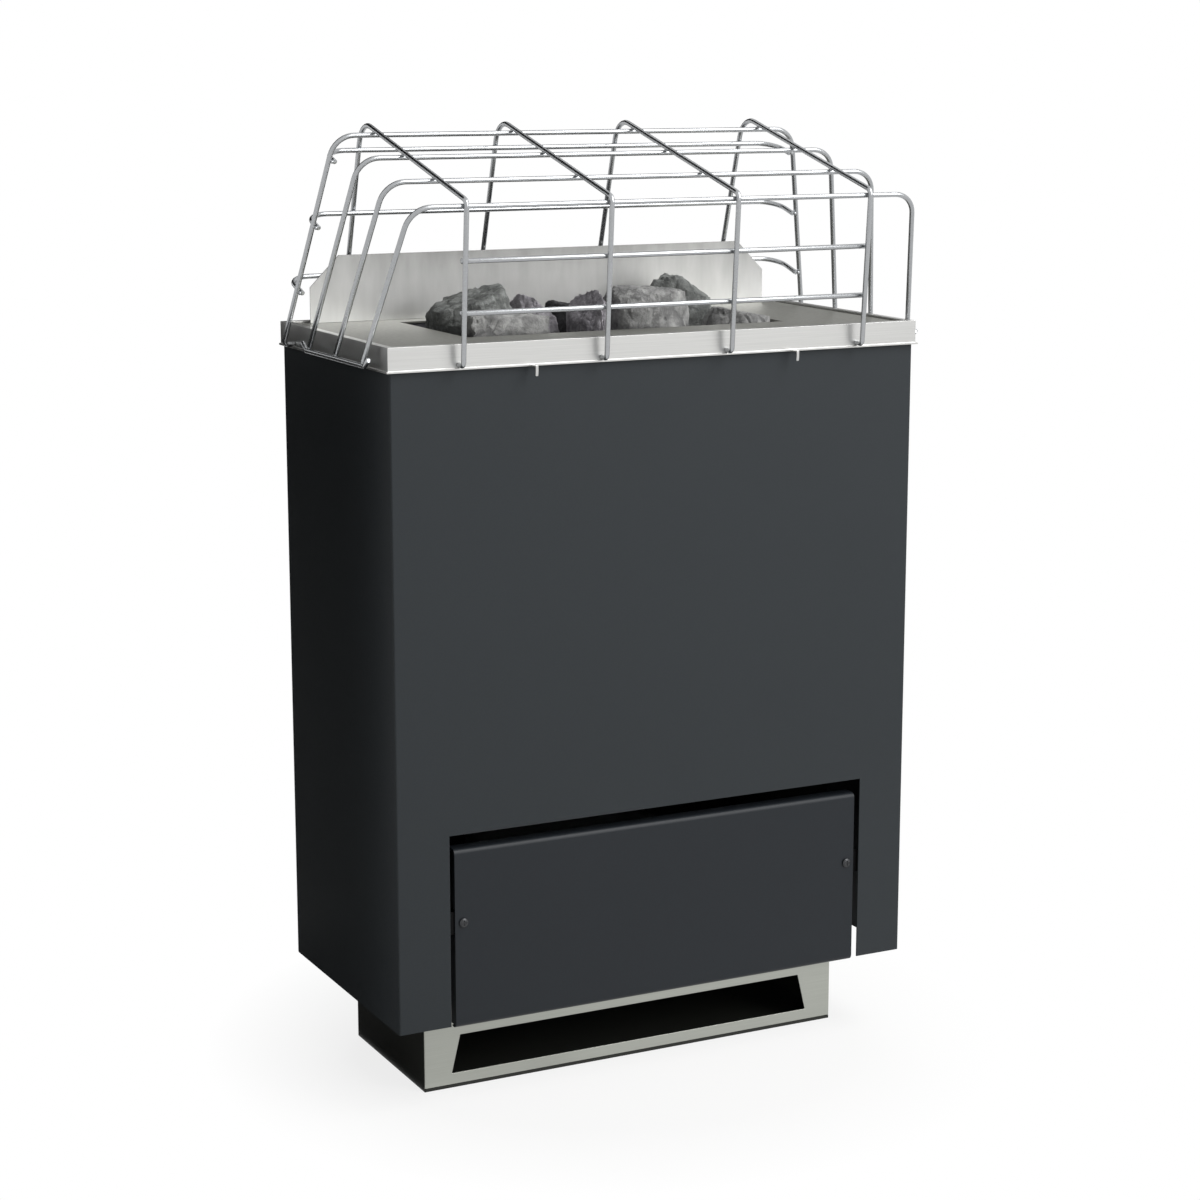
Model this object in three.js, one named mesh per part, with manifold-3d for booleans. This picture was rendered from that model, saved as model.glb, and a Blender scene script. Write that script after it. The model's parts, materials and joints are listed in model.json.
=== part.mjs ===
// Sauna heater stove: a floor-standing electric heater with a stone bin on top,
// a wire guard over the stones and an access cover at the foot of the front.
// Millimetres, +Z up, +Y towards the wall. Z is 0 on the floor.

import * as THREE from 'three';
import { mergeVertices } from 'three/addons/utils/BufferGeometryUtils.js';
import Module from 'manifold-3d';

const wasm = await Module();
wasm.setup();

// Driving dimensions of the casing, measured from its front face and its bottom edge
const CASING_WIDTH = 600;
const CASING_DEPTH = 295;
const CASING_TOP = 695.7;
const SHEET = 1.5;
const FIT_GAP = 0.3;
const OVERCUT = 1;
const EDGE_RADIUS = 2;
const REAR_FLANGE = 15;
const BACK_PANEL_INSET = 1;
const BACK_PANEL_TOP_GAP = 2;
const CABLE_WINDOW = { left: 100, right: 180, low: 20, high: 70, step: 5 };

// Plinth, set back under the casing
const PLINTH_HEIGHT = 92;
const PLINTH_WIDTH = 496;
const PLINTH_FRONT = 60;
const PLINTH_BACK = 248;
const PLINTH_SHEET = 2;
const PLINTH_FLANGE = 18;
const PLINTH_FOOT = 3.5;
const SLOT_TOP_WIDTH = 413;
const SLOT_BOTTOM_WIDTH = 433;
const SLOT_TOP = -34.5;
const SLOT_BOTTOM = -76;
const BASE_INSET = 2;
const BASE_SLOT = { offset: 180, halfWidth: 45, front: 95, back: 225 };

// Access cover in its notch at the foot of the casing
const NOTCH_CENTRE = 1.6;
const NOTCH_WIDTH = 488;
const NOTCH_HEIGHT = 203.1;
const COVER_CENTRE = 2.4;
const COVER_WIDTH = 476.6;
const COVER_BOTTOM = -4;
const COVER_TOP = 187;
const COVER_RECESS = 3;
const COVER_TOP_FLANGE = 17;
const COVER_BOTTOM_FLANGE = 10;
const COVER_SIDE_FLANGE = 12;
const COVER_FOLD_RADIUS = 5;
const SCREW_SPACING = 458.2;
const SCREW_HEIGHT = 109;
const SCREW_HEAD_RADIUS = 4.8;
const SCREW_HEAD_HEIGHT = 2.6;
const SCREW_SHANK_RADIUS = 2;
const SCREW_REACH = 10;
const SCREW_HOLE_RADIUS = 2.5;
const SCREW_CROWN = { radius: 2.9, drop: 1.2 };
const SCREW_SLOT = { halfLength: 3, halfWidth: 0.5, depth: 1 };
const BRACKET = { halfHeight: 12, sheet: 2, pastScrew: 10, pastNotch: 14, notchGap: 0.5, relief: 2 };

// Top rim, top plate and rear deflector
const RIM_BOTTOM = 675.3;
const RIM_TOP = 700.3;
const RIM_OVERHANG = 2.5;
const RIM_SHEET = 2;
const RIM_FLANGE = 8;
const RIM_LIP = 2;
const PLATE_TOP = 698;
const PLATE_SHEET = 2;
const OPENING_HALF_WIDTH = 185;
const OPENING_FRONT = 74;
const OPENING_BACK = 250;
const DEFLECTOR_FACE = 276;
const DEFLECTOR_HALF_WIDTH = 275.4;
const DEFLECTOR_TOP = 769;
const DEFLECTOR_CLIP = 33;
const DEFLECTOR_FOOT = 9;
const DEFLECTOR_FOOT_INSET = 10;
const DEFLECTOR_SCREW_OFFSET = 200;
const LUG = { offset: 149.4, halfWidth: 1.5, reach: 16, drop: 9, tip: 0.6, below: 0.5 };

// Inner heat shield, element plate and tubular elements
const SHIELD_HALF_WIDTH = 244;
const SHIELD_FRONT = 64;
const SHIELD_BACK = 286;
const SHIELD_SHEET = 1;
const SHIELD_TOP = 690;
const ACCESS_HALF_WIDTH = 236;
const ACCESS_TOP = 214;
const ELEMENT_PLATE_Z = 218;
const ELEMENT_ROWS = [110, 160, 210];
const ELEMENT_RADIUS = 4;
const ELEMENT_HALF_SPAN = 150;
const ELEMENT_TOP = 535;
const ELEMENT_DIP = 250;
const ELEMENT_FOOT = 192;
const ELEMENT_BEND = 22;
const ELEMENT_HOLE_RADIUS = 4.4;
const ELEMENT_SLOTS = [[-200, 35], [0, 120], [200, 35]];
const ELEMENT_SLOT_HALF_DEPTH = 15;
const COLLAR_RADIUS = 9;
const COLLAR_DROP = 10;
const COLLAR_SIDES = 6;

// Junction box, its terminal block and the cable gland in its right wall
const BOX = { halfWidth: 110, front: 150, back: 262, top: 122 };
const TERMINAL = { halfWidth: 60, depth: 22, low: 50, high: 84, poles: 5, pitch: 24 };
const TERMINAL_RECESS = { halfWidth: 9, depth: 8, margin: 6 };
const GLAND = { y: 205, z: 42, hole: 8.5, bore: 5, thread: 8, hex: 13, cap: 10.5, end: 30 };
const GLAND_HEX_START = 14;
const GLAND_HEX_END = 22;

// Stone bin and grate
const BIN_BOTTOM = 562;
const BIN_WALL_GAP = 1.5;
const BIN_LIP = 12;
const GRATE_THICKNESS = 6;
const GRATE_PITCH = 40;
const GRATE_SLOT = 30;
const GRATE_SLOTS_EACH_SIDE = 4;

// Stones: the shown heap as [x, y, top, half sizes], over a lower layer in two rows
const SHOWN_STONES = [
  [-129, 100, 719, [45, 22, 38]],
  [-133, 176, 742, [41, 48, 50]],
  [-50, 205, 727, [21, 35, 45]],
  [41.5, 122, 739, [47.5, 44, 50]],
  [134, 212, 741, [40, 36, 52]],
  [-22.5, 128, 735, [14.5, 40, 48]],
  [154, 130, 711, [30, 46, 36]],
  [4, 212, 716, [27, 34, 40]],
  [62, 209, 723, [26, 37, 43]],
  [105, 112, 690, [13, 32, 26]],
];
const LOWER_STONE_COLUMNS = [-124, 0, 124];
const LOWER_STONE_ROWS = [117, 206];
const LOWER_STONE_TOP = 634;
const LOWER_STONE_HALF = [57, 41, 31];
const STONE_FACES = 13;
const STONE_FACE_DEPTH = 0.84;
const STONE_FACE_SPREAD = 0.26;
const STONE_BLOCKINESS = 4;

// Wire guard: the hoops' tops and the ribs share one tilt, and the rear legs lean a little more
const WIRE_RADIUS = 2.65;
const WIRE_STEP = 5.75;
const GUARD_TILT = THREE.MathUtils.degToRad(14.8);
const REAR_LEAN = THREE.MathUtils.degToRad(16.6);
const HOOP_COUNT = 4;
const HOOP_SPACING = 79.3;
const HOOP_LINE = { y: -22.6, z: 835.1 };
const FRONT_HOOP = { y: -19.9, z: 834.5 };
const HOOP_FOOT = { front: 33, spacing: 73 };
const HOOP_BEND = 26;
const LEG_FOOT_HALF_WIDTH = 315;
const LEG_INWARD_SLOPE = 0.205;
const RIB_OFFSETS = [-228, -71.6, 71.6, 228];
const RIB_FRONT_BEND = 7.5;
const RIB_PEAK_BEND = 26;
const POST_FOOT_Y = -14.5;
const POST_LEAN = 0.073;
const REAR_LEG_Y = 264.6;
const REAR_LEG_Z = 830;
const REAR_LEG_END = 742;
const FRONT_ROD_HEIGHTS = [782, 731];
const FRONT_ROD_HALF_LENGTH = 230;
const REAR_ROD_HEIGHTS = [881, 815, 749];
const REAR_ROD_BEND = 25;
const FOOT_BEND = 4;
const LEG_SEAT_GAP = 1.4;
const REAR_ROD_GAP = 0.2;
const RAIL_OVERRUN = 6;
const RAIL_TIP_RUN = 11;
const RAIL_TIP_RISE = 7;

// The guard reaches in front of the casing and the screw heads behind it; Y is 0 midway between
const GUARD_REACH = 28;
const PANEL_SCREW = {
  headRadius: 3.5, crownRadius: 2.5, headHeight: 2.4, crown: 0.8, shankRadius: 1.7, length: 8,
};
const BACK_SCREW_HEIGHTS = [60, 610];
const REAR_REACH = CASING_DEPTH + FIT_GAP + PANEL_SCREW.headHeight;
const CASING_FRONT_Y = (GUARD_REACH - REAR_REACH) / 2;

const HALF_WIDTH = CASING_WIDTH / 2;
const HALF_PLINTH = PLINTH_WIDTH / 2;
const FOOT_Z = RIM_BOTTOM + RIM_LIP + FIT_GAP + WIRE_RADIUS;
const BACK_PANEL_FACE = CASING_DEPTH - SHEET;

// Finishes
function finish(color, roughness, metalness) {
  return new THREE.MeshStandardMaterial({ color, roughness, metalness });
}

const anthracitePaint = finish(0x383b3e, 0.55, 0.1);
const coverPaint = finish(0x30333a, 0.5, 0.1);
const darkPaint = finish(0x1d1e1f, 0.6, 0.1);
const brushedSteel = finish(0xc4c5c3, 0.35, 0.9);
const plinthSteel = finish(0xa2a49e, 0.45, 0.8);
const wireSteel = finish(0xb4b5b6, 0.2, 0.95);
const galvanised = finish(0x9b9fa2, 0.5, 0.8);
const elementSteel = finish(0x5a544e, 0.5, 0.7);
const blackIron = finish(0x26262a, 0.7, 0.4);
const zinc = finish(0x7d8083, 0.4, 0.9);
const ceramic = finish(0xd9d4c8, 0.6, 0);
const plasticGrey = finish(0x55585b, 0.6, 0);
const stoneFinishes = [finish(0x77787a, 0.95, 0), finish(0x66696a, 0.95, 0), finish(0x7b767c, 0.95, 0)];

// Solid helpers
function bareGeometry(geometry) {
  const bare = geometry.clone();
  for (const name of Object.keys(bare.attributes)) {
    if (name !== 'position') bare.deleteAttribute(name);
  }
  return mergeVertices(bare, 1e-4);
}

function toSolid(geometry) {
  const bare = bareGeometry(geometry);
  const vertProperties = new Float32Array(bare.attributes.position.array);
  const triVerts = new Uint32Array(bare.index.array);
  return new wasm.Manifold(new wasm.Mesh({ numProp: 3, vertProperties, triVerts }));
}

function toGeometry(solid) {
  const { vertProperties, triVerts } = solid.getMesh();
  const geometry = new THREE.BufferGeometry();
  geometry.setAttribute('position', new THREE.BufferAttribute(new Float32Array(vertProperties), 3));
  geometry.setIndex(new THREE.BufferAttribute(new Uint32Array(triVerts), 1));
  return geometry;
}

function join(...geometries) {
  const solids = geometries.map(toSolid);
  return toGeometry(solids.reduce((sum, solid) => sum.add(solid)));
}

function cut(geometry, ...tools) {
  const solids = tools.map(toSolid);
  return toGeometry(solids.reduce((rest, tool) => rest.subtract(tool), toSolid(geometry)));
}

// Basic shapes
function slab(x0, x1, y0, y1, z0, z1) {
  const box = new THREE.BoxGeometry(x1 - x0, y1 - y0, z1 - z0);
  return box.translate((x0 + x1) / 2, (y0 + y1) / 2, (z0 + z1) / 2);
}

function roundedRect(x0, x1, y0, y1, radius) {
  const quarter = Math.PI / 2;
  const shape = new THREE.Shape();
  shape.absarc(x1 - radius, y0 + radius, radius, -quarter, 0);
  shape.absarc(x1 - radius, y1 - radius, radius, 0, quarter);
  shape.absarc(x0 + radius, y1 - radius, radius, quarter, 2 * quarter);
  shape.absarc(x0 + radius, y0 + radius, radius, 2 * quarter, 3 * quarter);
  return shape;
}

function prismUp(shape, z0, z1) {
  const solid = new THREE.ExtrudeGeometry(shape, { depth: z1 - z0, bevelEnabled: false, curveSegments: 2 });
  return solid.translate(0, 0, z0);
}

// Shape drawn in X and Z, made thick from y0 back to y1
function prismBack(shape, y0, y1) {
  const solid = new THREE.ExtrudeGeometry(shape, { depth: y1 - y0, bevelEnabled: false, curveSegments: 2 });
  return solid.rotateX(Math.PI / 2).translate(0, y1, 0);
}

// Shape drawn in Y and Z, made wide from x0 to x1
function prismAcross(shape, x0, x1) {
  const solid = new THREE.ExtrudeGeometry(shape, { depth: x1 - x0, bevelEnabled: false, curveSegments: 2 });
  const axes = new THREE.Matrix4().makeBasis(
    new THREE.Vector3(0, 1, 0),
    new THREE.Vector3(0, 0, 1),
    new THREE.Vector3(1, 0, 0),
  );
  return solid.applyMatrix4(axes).translate(x0, 0, 0);
}

function polygon(points) {
  return new THREE.Shape(points.map(([x, y]) => new THREE.Vector2(x, y)));
}

// Rectangular sheet wall with open top and bottom
function wallRing(halfWidth, front, back, sheet, z0, z1, radius = EDGE_RADIUS) {
  const outer = prismUp(roundedRect(-halfWidth, halfWidth, front, back, radius), z0, z1);
  const inner = slab(-halfWidth + sheet, halfWidth - sheet, front + sheet, back - sheet, z0 - 1, z1 + 1);
  return cut(outer, inner);
}

// Round piece turned about an axis through its centre, from pairs of [radius, distance along the axis]
function turned(profile, axis, sides) {
  const points = profile.map(([radius, along]) => new THREE.Vector2(radius, along));
  const solid = new THREE.LatheGeometry(points, sides);
  if (axis === 'x') solid.rotateZ(-Math.PI / 2);
  if (axis === 'z') solid.rotateX(Math.PI / 2);
  return solid;
}

// Corner points with each inner corner rounded to an arc of the given radius
function rounded(points, radius, steps) {
  const stations = [points[0]];
  for (let i = 1; i < points.length - 1; i += 1) {
    const bend = Array.isArray(radius) ? radius[i - 1] : radius;
    const toBefore = points[i - 1].clone().sub(points[i]).normalize();
    const toAfter = points[i + 1].clone().sub(points[i]).normalize();
    const halfAngle = toBefore.angleTo(toAfter) / 2;
    const bisector = toBefore.clone().add(toAfter).normalize();
    const centre = points[i].clone().addScaledVector(bisector, bend / Math.sin(halfAngle));
    const reach = bend / Math.tan(halfAngle);
    const from = points[i].clone().addScaledVector(toBefore, reach).sub(centre);
    const to = points[i].clone().addScaledVector(toAfter, reach).sub(centre);
    const sweep = from.angleTo(to);
    for (let k = 0; k <= steps; k += 1) {
      const share = k / steps;
      const spoke = from.clone().multiplyScalar(Math.sin((1 - share) * sweep));
      spoke.addScaledVector(to, Math.sin(share * sweep)).divideScalar(Math.sin(sweep));
      stations.push(spoke.add(centre));
    }
  }
  stations.push(points[points.length - 1]);
  return stations;
}

// Path whose steps fall on its own stations, so straights stay one step long
class StationPath extends THREE.Curve {
  constructor(stations) {
    super();
    this.stations = stations;
  }

  getPointAt(share) {
    return this.stations[Math.round(share * (this.stations.length - 1))].clone();
  }

  getTangentAt(share) {
    const i = Math.round(share * (this.stations.length - 1));
    const here = this.stations[i];
    const before = this.stations[Math.max(i - 1, 0)];
    const after = this.stations[Math.min(i + 1, this.stations.length - 1)];
    const arriving = here.clone().sub(before).normalize();
    const leaving = after.clone().sub(here).normalize();
    return arriving.add(leaving).normalize();
  }
}

const BEND_STEPS = 5;
const SCREW_SIDES = 12;
const HOLE_SIDES = 16;

function bentTube(corners, tubeRadius, bendRadius) {
  const stations = rounded(corners, bendRadius, BEND_STEPS);
  const section = new THREE.Shape().absarc(0, 0, tubeRadius, 0, 2 * Math.PI);
  const extrudePath = new StationPath(stations);
  return new THREE.ExtrudeGeometry(section, { steps: stations.length - 1, curveSegments: 4, extrudePath });
}

// Cross-section of a bent sheet that follows a path of [across, up] corners
function sheetSection(corners, sheet, bendRadius) {
  const stations = rounded(corners.map(([a, b]) => new THREE.Vector3(a, b, 0)), bendRadius, BEND_STEPS);
  const path = new StationPath(stations);
  const last = stations.length - 1;
  const side = (sign) => stations.map((point, i) => {
    const along = path.getTangentAt(i / last);
    return new THREE.Vector2(point.x - sign * along.y * sheet / 2, point.y + sign * along.x * sheet / 2);
  });
  return new THREE.Shape([...side(-1), ...side(1).reverse()]);
}

const heater = new THREE.Group();

function add(name, geometry, material) {
  const mesh = new THREE.Mesh(geometry, material);
  mesh.name = name;
  heater.add(mesh);
}

const vec = (x, y, z) => new THREE.Vector3(x, y, z);

// Plinth: a tray with top flanges behind a bright front plate
function addPlinth() {
  const top = -FIT_GAP;
  const inside = PLINTH_FRONT + PLINTH_SHEET;
  const cavity = slab(
    -HALF_PLINTH + PLINTH_FLANGE, HALF_PLINTH - PLINTH_FLANGE,
    inside + PLINTH_FLANGE, PLINTH_BACK - PLINTH_FLANGE,
    -PLINTH_HEIGHT + PLINTH_FOOT, 1,
  );
  const channel = slab(
    -HALF_PLINTH + PLINTH_SHEET, HALF_PLINTH - PLINTH_SHEET,
    PLINTH_FRONT - 1, PLINTH_BACK - PLINTH_SHEET,
    -PLINTH_HEIGHT + PLINTH_FOOT, top - PLINTH_SHEET,
  );
  const frontSeat = slab(
    -HALF_PLINTH - 1, HALF_PLINTH + 1, PLINTH_FRONT - 1, inside, -PLINTH_HEIGHT + PLINTH_FOOT, 1,
  );
  const block = slab(-HALF_PLINTH, HALF_PLINTH, PLINTH_FRONT, PLINTH_BACK, -PLINTH_HEIGHT, top);
  add('plinth_frame', cut(block, cavity, channel, frontSeat), darkPaint);

  const slot = prismBack(polygon([
    [-SLOT_BOTTOM_WIDTH / 2, SLOT_BOTTOM],
    [SLOT_BOTTOM_WIDTH / 2, SLOT_BOTTOM],
    [SLOT_TOP_WIDTH / 2, SLOT_TOP],
    [-SLOT_TOP_WIDTH / 2, SLOT_TOP],
  ]), PLINTH_FRONT - 1, inside + 1);
  const plate = slab(
    -HALF_PLINTH, HALF_PLINTH, PLINTH_FRONT, inside - FIT_GAP, -PLINTH_HEIGHT + PLINTH_FOOT + FIT_GAP, top,
  );
  add('plinth_front', cut(plate, slot), plinthSteel);
}

// Base plate with two air slots, carried by the plinth
function addBasePlate() {
  const { offset, halfWidth, front, back } = BASE_SLOT;
  const airSlots = [-1, 1].map((side) => slab(
    side * offset - halfWidth, side * offset + halfWidth, front, back, -OVERCUT, PLINTH_SHEET + OVERCUT,
  ));
  const half = HALF_PLINTH - BASE_INSET;
  const plate = slab(-half, half, SHIELD_FRONT - OVERCUT, BACK_PANEL_FACE - PLINTH_SHEET, 0, PLINTH_SHEET);
  add('base_plate', cut(plate, ...airSlots), galvanised);
}

// Pan-head screw along an axis: the head ends at 0 and the shank runs back from it
function panScrew(axis) {
  const { headRadius, crownRadius, headHeight, crown, shankRadius, length } = PANEL_SCREW;
  const end = -headHeight - length;
  return turned([
    [0, end], [shankRadius, end], [shankRadius, -headHeight],
    [headRadius, -headHeight], [headRadius, -crown], [crownRadius, 0], [0, 0],
  ], axis, SCREW_SIDES);
}

// Round hole along an axis
function drill(radius, from, to, axis) {
  return turned([[0, from], [radius, from], [radius, to], [0, to]], axis, HOLE_SIDES);
}

function panHole(axis) {
  return drill(PANEL_SCREW.shankRadius + FIT_GAP, -2 * PANEL_SCREW.length, PANEL_SCREW.length, axis);
}

// Casing: front and sides folded from one sheet, with a notch for the access cover, and a screwed back panel
function addCasing() {
  const back = BACK_PANEL_FACE - FIT_GAP;
  const top = CASING_TOP + OVERCUT;
  const shell = wallRing(HALF_WIDTH, 0, back, SHEET, 0, CASING_TOP);
  const gapHalf = HALF_WIDTH - REAR_FLANGE;
  const rearGap = slab(-gapHalf, gapHalf, back - 2 * SHEET, back + OVERCUT, -OVERCUT, top);
  const notchHalf = NOTCH_WIDTH / 2;
  const notch = slab(
    NOTCH_CENTRE - notchHalf, NOTCH_CENTRE + notchHalf, -OVERCUT, SHEET + OVERCUT, -OVERCUT, NOTCH_HEIGHT,
  );
  const screwX = HALF_WIDTH - REAR_FLANGE / 2;
  const places = BACK_SCREW_HEIGHTS.flatMap((z) => [-1, 1].map((side) => [side * screwX, REAR_REACH, z]));
  const holes = places.map((place) => panHole('y').translate(...place));
  add('casing_shell', cut(shell, rearGap, notch, ...holes), anthracitePaint);

  const panelHalf = HALF_WIDTH - BACK_PANEL_INSET;
  const panelTop = RIM_BOTTOM - BACK_PANEL_TOP_GAP;
  const panel = slab(-panelHalf, panelHalf, BACK_PANEL_FACE, CASING_DEPTH, 0, panelTop);
  const { left, right, low, high } = CABLE_WINDOW;
  const window = slab(left, right, BACK_PANEL_FACE - OVERCUT, CASING_DEPTH + OVERCUT, low, high);
  add('back_panel', cut(panel, window, ...holes), galvanised);
  places.forEach((place, i) => add(`back_screw_${i + 1}`, panScrew('y').translate(...place), zinc));
}

// Screw of the access cover: a domed head with a cross slot, and a shank that runs back
function coverScrew() {
  const headBack = COVER_RECESS - FIT_GAP;
  const headFront = headBack - SCREW_HEAD_HEIGHT;
  const end = headBack + SCREW_REACH;
  const body = turned([
    [0, headFront], [SCREW_CROWN.radius, headFront], [SCREW_HEAD_RADIUS, headFront + SCREW_CROWN.drop],
    [SCREW_HEAD_RADIUS, headBack], [SCREW_SHANK_RADIUS, headBack], [SCREW_SHANK_RADIUS, end], [0, end],
  ], 'y', HOLE_SIDES);
  const { halfLength, halfWidth, depth } = SCREW_SLOT;
  const slot = (x, z) => slab(-x, x, headFront - OVERCUT, headFront + depth, -z, z);
  return cut(body, slot(halfLength, halfWidth), slot(halfWidth, halfLength));
}

// Access cover with its two screws and the brackets that they bite into
function addAccessCover() {
  const face = COVER_RECESS + SHEET / 2;
  const low = COVER_BOTTOM + SHEET / 2;
  const high = COVER_TOP - SHEET / 2;
  const profile = sheetSection([
    [COVER_RECESS + COVER_BOTTOM_FLANGE, low], [face, low],
    [face, high], [COVER_RECESS + COVER_TOP_FLANGE, high],
  ], SHEET, COVER_FOLD_RADIUS);
  const strapFace = COVER_RECESS + SHEET + FIT_GAP;
  const strapBack = strapFace + BRACKET.sheet;
  const screwX = (side) => COVER_CENTRE + side * SCREW_SPACING / 2;
  const screwHole = (side) => drill(SCREW_HOLE_RADIUS, -OVERCUT, strapBack + OVERCUT, 'y')
    .translate(screwX(side), 0, SCREW_HEIGHT);
  const [bottom, top] = [SCREW_HEIGHT - BRACKET.halfHeight, SCREW_HEIGHT + BRACKET.halfHeight];
  const flangeInset = 2 * SHEET;
  const sideFlange = (side) => {
    const edges = [COVER_WIDTH / 2 - SHEET, COVER_WIDTH / 2].map((half) => COVER_CENTRE + side * half);
    const [x0, x1] = [Math.min(...edges), Math.max(...edges)];
    const back = COVER_RECESS + COVER_SIDE_FLANGE;
    const flange = slab(x0, x1, face, back, COVER_BOTTOM + flangeInset, COVER_TOP - flangeInset);
    const relief = slab(
      x0 - OVERCUT, x1 + OVERCUT, COVER_RECESS + SHEET, back + OVERCUT,
      bottom - BRACKET.relief, top + BRACKET.relief,
    );
    return cut(flange, relief);
  };
  const sheet = prismAcross(profile, COVER_CENTRE - COVER_WIDTH / 2, COVER_CENTRE + COVER_WIDTH / 2);
  const pan = join(sheet, sideFlange(-1), sideFlange(1));
  add('access_cover', cut(pan, screwHole(-1), screwHole(1)), coverPaint);

  const outer = NOTCH_WIDTH / 2 + BRACKET.pastNotch;
  for (const [word, side] of [['left', -1], ['right', 1]]) {
    const leaf = (inner, front) => {
      const edges = [NOTCH_CENTRE + side * inner, NOTCH_CENTRE + side * outer];
      return slab(Math.min(...edges), Math.max(...edges), front, strapBack, bottom, top);
    };
    const strap = leaf(SCREW_SPACING / 2 - BRACKET.pastScrew, strapFace);
    const foot = leaf(NOTCH_WIDTH / 2 + BRACKET.notchGap, SHEET + FIT_GAP);
    add(`cover_bracket_${word}`, cut(join(strap, foot), screwHole(side)), darkPaint);
    add(`cover_screw_${word}`, coverScrew().translate(screwX(side), 0, SCREW_HEIGHT), zinc);
  }
}

// Inner heat shield that stands on the base plate, with the element plate across it
function addHeatChamber() {
  const shieldLow = PLINTH_SHEET + FIT_GAP;
  const ring = wallRing(SHIELD_HALF_WIDTH, SHIELD_FRONT, SHIELD_BACK, SHIELD_SHEET, shieldLow, SHIELD_TOP);
  const access = slab(
    -ACCESS_HALF_WIDTH, ACCESS_HALF_WIDTH, SHIELD_FRONT - OVERCUT, SHIELD_FRONT + 2 * SHEET, 0, ACCESS_TOP,
  );
  const { left, right, low, high, step } = CABLE_WINDOW;
  const window = slab(
    left + step, right - step, SHIELD_BACK - 2 * SHEET, SHIELD_BACK + OVERCUT, low + step, high - step,
  );
  add('heat_shield', cut(ring, access, window), darkPaint);

  const margin = SHIELD_SHEET + FIT_GAP;
  const plateTop = ELEMENT_PLATE_Z + PLINTH_SHEET;
  const plate = slab(
    -SHIELD_HALF_WIDTH + margin, SHIELD_HALF_WIDTH - margin, SHIELD_FRONT + margin, SHIELD_BACK - margin,
    ELEMENT_PLATE_Z, plateTop,
  );
  const slotRows = ELEMENT_ROWS.slice(1).map((y, i) => (y + ELEMENT_ROWS[i]) / 2);
  const airSlots = slotRows.flatMap((y) => ELEMENT_SLOTS.map(([x, half]) => slab(
    x - half, x + half, y - ELEMENT_SLOT_HALF_DEPTH, y + ELEMENT_SLOT_HALF_DEPTH,
    ELEMENT_PLATE_Z - OVERCUT, plateTop + OVERCUT,
  )));
  const collarLow = ELEMENT_PLATE_Z - COLLAR_DROP;
  const collar = turned([
    [0, collarLow], [COLLAR_RADIUS, collarLow], [COLLAR_RADIUS, plateTop - OVERCUT], [0, plateTop - OVERCUT],
  ], 'z', COLLAR_SIDES);
  const endHole = drill(ELEMENT_HOLE_RADIUS, collarLow - OVERCUT, plateTop + OVERCUT, 'z');
  const ends = ELEMENT_ROWS.flatMap((y) => [-1, 1].map((side) => [side * ELEMENT_HALF_SPAN, y, 0]));
  const collars = ends.map((place) => collar.clone().translate(...place));
  const holes = ends.map((place) => endHole.clone().translate(...place));
  add('element_plate', cut(join(plate, ...collars), ...airSlots, ...holes), galvanised);

  ELEMENT_ROWS.forEach((y, i) => {
    const inner = ELEMENT_HALF_SPAN / 3;
    const route = [
      [-ELEMENT_HALF_SPAN, ELEMENT_FOOT], [-ELEMENT_HALF_SPAN, ELEMENT_TOP], [-inner, ELEMENT_TOP],
      [-inner, ELEMENT_DIP], [inner, ELEMENT_DIP], [inner, ELEMENT_TOP],
      [ELEMENT_HALF_SPAN, ELEMENT_TOP], [ELEMENT_HALF_SPAN, ELEMENT_FOOT],
    ];
    const corners = route.map(([x, z]) => vec(x, y, z));
    add(`heating_element_${i + 1}`, bentTube(corners, ELEMENT_RADIUS, ELEMENT_BEND), elementSteel);
  });
}

// Junction box on the base plate with its terminal block and cable gland
function addJunctionBox() {
  const { halfWidth, front, back, top } = BOX;
  const low = PLINTH_SHEET + FIT_GAP;
  const body = slab(-halfWidth, halfWidth, front, back, low, top);
  const inside = halfWidth - SHEET;
  const hollow = slab(-inside, inside, front - OVERCUT, back - SHEET, low + SHEET, top - SHEET);
  const glandHole = drill(GLAND.hole, 0, halfWidth + OVERCUT, 'x').translate(0, GLAND.y, GLAND.z);
  add('terminal_box', cut(body, hollow, glandHole), galvanised);

  const blockBack = back - SHEET - FIT_GAP;
  const blockFront = blockBack - TERMINAL.depth;
  const block = slab(
    -TERMINAL.halfWidth, TERMINAL.halfWidth, blockFront, blockBack, TERMINAL.low, TERMINAL.high,
  );
  const recesses = Array.from({ length: TERMINAL.poles }, (_, i) => {
    const x = TERMINAL.pitch * (i - (TERMINAL.poles - 1) / 2);
    const { halfWidth: reach, depth, margin } = TERMINAL_RECESS;
    return slab(
      x - reach, x + reach, blockFront - OVERCUT, blockFront + depth,
      TERMINAL.low + margin, TERMINAL.high - margin,
    );
  });
  add('terminal_block', cut(block, ...recesses), ceramic);

  const { bore, thread, hex, cap, end } = GLAND;
  const hexStart = GLAND_HEX_START + FIT_GAP;
  const gland = turned([
    [bore, 0], [thread, 0], [thread, hexStart], [hex, hexStart], [hex, GLAND_HEX_END], [cap, GLAND_HEX_END],
    [cap, end], [bore, end], [bore, 0],
  ], 'x', HOLE_SIDES);
  add('cable_gland', gland.translate(halfWidth - GLAND_HEX_START, GLAND.y, GLAND.z), plasticGrey);
}

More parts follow.
